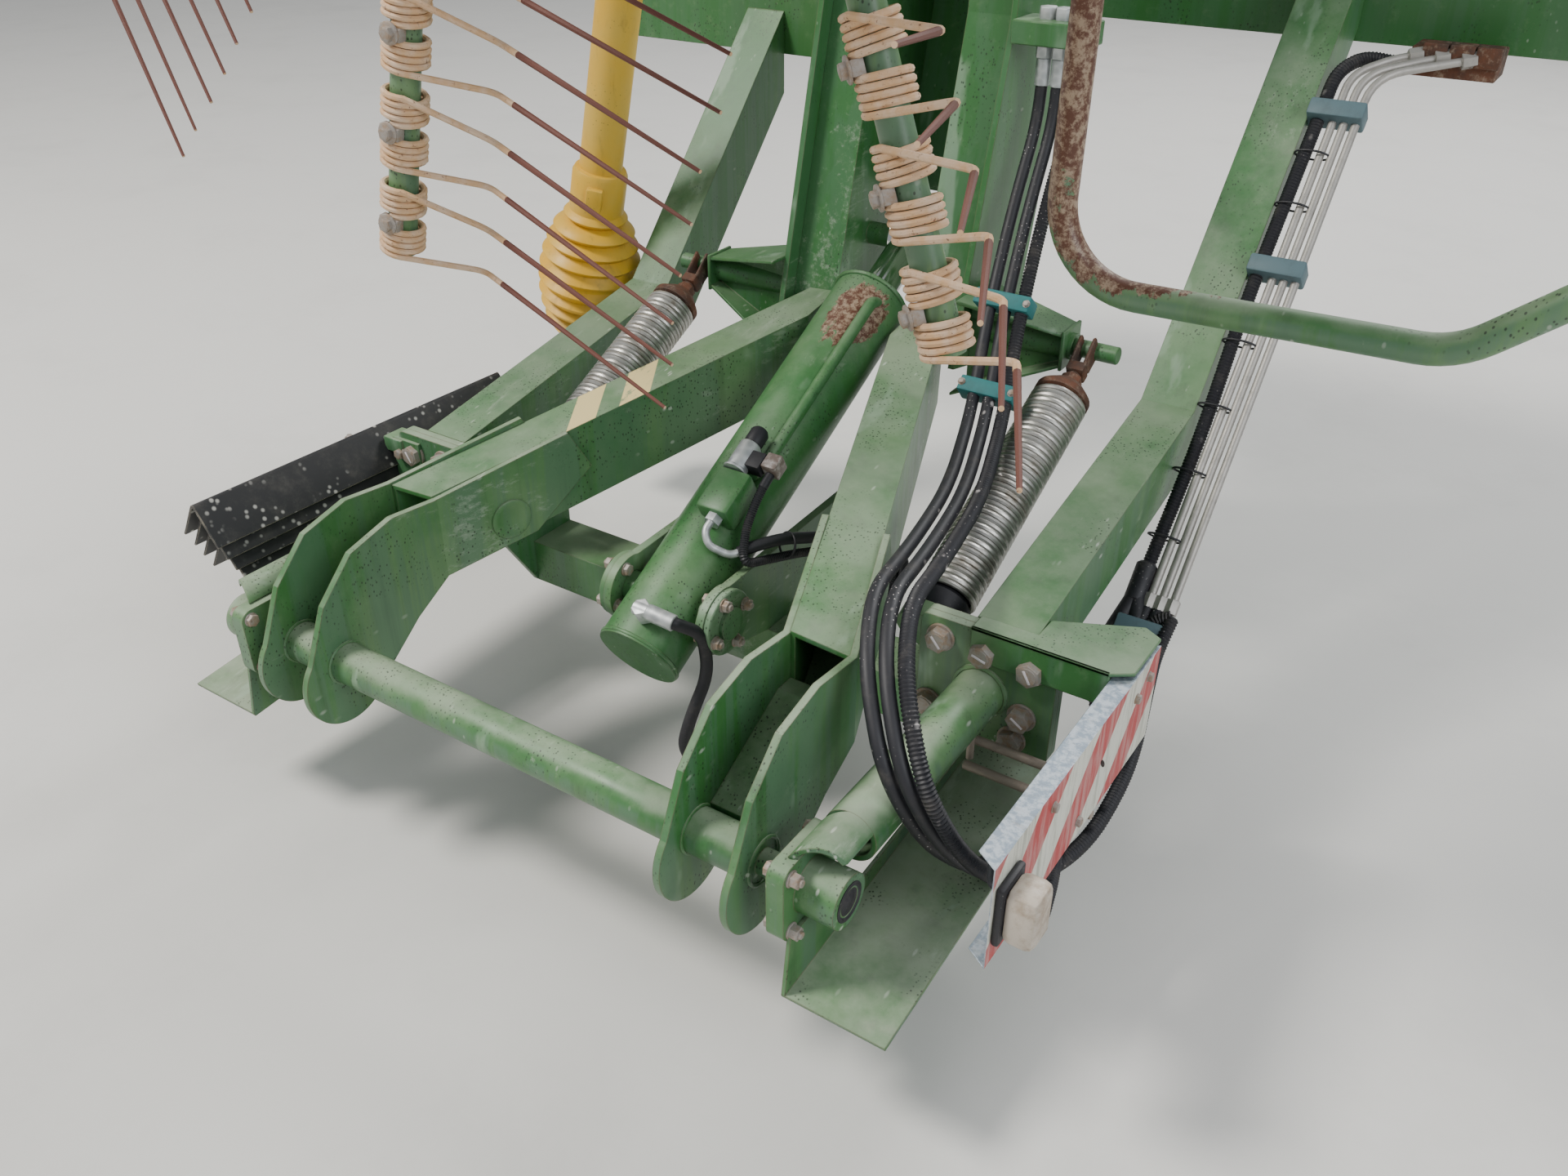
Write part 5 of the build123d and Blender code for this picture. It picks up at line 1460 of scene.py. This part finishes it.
class RAKE_OT_finishes(bpy.types.Operator):
    """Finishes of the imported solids"""

    bl_idname = "rake.finishes"
    bl_label = "Finishes"

    def execute(self, context):
        old = finish(green_paint, 0.6, 0.6, 0.5)
        clean = finish(green_paint, 0.3, 0.3, 0.25)
        rough = finish(green_paint, 0.75, 0.85, 0.8)
        pairs = {
            "beam_flange": rough, "hinge_arm": rough, "fold_bearing": rough, "fork_": rough,
            "yoke_box": old, "yoke_box_left": finish(green_paint, 0.6, 0.6, 0.5, None, True),
            "column_": finish(green_paint, 0.35, 0.35, 0.7), "outer_beam": old, "main_beam": clean,
            "beam_lower": clean, "cradle": old,
            "trunnion": old, "cross_tube": rough,
            "lift_barrel": finish(green_paint, 0.3, 0.35, 0.3, "barrel"),
            "lift_rod": finish(chrome_rod), "board_bracket": old, "warning_board": finish(board_sheet),
            "floor_guard": finish(green_paint, 0.9, 1.0, 0.8), "rotor_": clean,
            "tine_arms": finish(green_paint, 0.95, 0.9, 0.4), "spring_tube": clean,
            "guard_hoop": finish(green_paint, 0.85, 0.7, 0.6, "hoop"),
            "gear_beam": clean, "wheel_rocker": clean,
            "rim_": finish(plain, "rim_paint", (0.55, 0.53, 0.47), 0.5), "tyre_": finish(tyre_rubber),
            "warning_lamp": finish(lamp_lens), "relief_spring": finish(spring_steel),
            "tines": finish(tine_wire),
        }
        for name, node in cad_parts.items():
            for start, material in pairs.items():
                if name.startswith(start):
                    node.data.materials.clear()
                    node.data.materials.append(material)
        return {"FINISHED"}


class RAKE_OT_stage(bpy.types.Operator):
    """Floor, soft light and camera"""

    bl_idname = "rake.stage"
    bl_label = "Stage"

    def light(self, name, place, target, size, power, colour=(1, 1, 1)):
        data = bpy.data.lights.new(name, "AREA")
        data.shape = "DISK"
        data.size = size
        data.energy = power
        data.color = colour
        made = bpy.data.objects.new(name, data)
        bpy.context.scene.collection.objects.link(made)
        made.location = place
        made.rotation_euler = (Vector(target) - Vector(place)).to_track_quat("-Z", "Y").to_euler()

    def execute(self, context):
        settings = context.scene.rake_stage
        bm = bmesh.new()
        bmesh.ops.create_grid(bm, x_segments=1, y_segments=1, size=20,
                              matrix=Matrix.Translation((0, 0, settings.floor)))
        piece("floor", bm, finish(plain, "floor_grey", (0.62, 0.61, 0.58), 0.75, 0.0, 0.1, 2))
        centre = at(0, 0.6, 0.3)
        self.light("key", (-4.5, -5.0, 6.5), centre, 2.4, 1000, (1, 0.97, 0.92))
        self.light("fill", (6.0, -3.5, 3.0), centre, 4.0, 240, (0.93, 0.96, 1))
        self.light("back", (1.5, 5.5, 5.0), centre, 3.5, 520, (1, 1, 1))
        world = bpy.data.worlds.new("studio")
        world.use_nodes = True
        world.node_tree.nodes["Background"].inputs["Color"].default_value = (0.86, 0.9, 0.95, 1)
        world.node_tree.nodes["Background"].inputs["Strength"].default_value = 0.5
        context.scene.world = world
        data = bpy.data.cameras.new("camera")
        data.lens = settings.lens
        data.sensor_width = 36
        data.clip_start = 0.05
        camera = bpy.data.objects.new("camera", data)
        context.scene.collection.objects.link(camera)
        camera.location = at(1.22689, -1.06542, 1.257)
        camera.rotation_euler = (settings.pitch, 0, settings.turn)
        context.scene.camera = camera
        return {"FINISHED"}


OPERATORS = (RAKE_OT_finishes, RAKE_OT_tines, RAKE_OT_springs, RAKE_OT_lift, RAKE_OT_joints,
             RAKE_OT_hydraulics,
             RAKE_OT_shaft, RAKE_OT_boards, RAKE_OT_wheels, RAKE_OT_trim, RAKE_OT_stage)


class RAKE_PT_panel(bpy.types.Panel):
    """The steps that dress the rotor unit"""

    bl_label = "Rotary rake unit"
    bl_idname = "RAKE_PT_panel"
    bl_space_type = "VIEW_3D"
    bl_region_type = "UI"
    bl_category = "Rake"

    def draw(self, context):
        for operator in OPERATORS:
            self.layout.operator(operator.bl_idname)


GROUPS = (("rake_paint", RakePaint), ("rake_tines", RakeTines), ("rake_stage", RakeStage))


def register():
    for name, group in GROUPS:
        bpy.utils.register_class(group)
        setattr(bpy.types.Scene, name, PointerProperty(type=group))
    for made in (*OPERATORS, RAKE_PT_panel):
        bpy.utils.register_class(made)


def unregister():
    for made in (*OPERATORS, RAKE_PT_panel):
        bpy.utils.unregister_class(made)
    for name, group in GROUPS:
        delattr(bpy.types.Scene, name)
        bpy.utils.unregister_class(group)


def main():
    register()
    for operator in OPERATORS:
        group, name = operator.bl_idname.split(".")
        getattr(getattr(bpy.ops, group), name)()


if __name__ == "__main__":
    main()
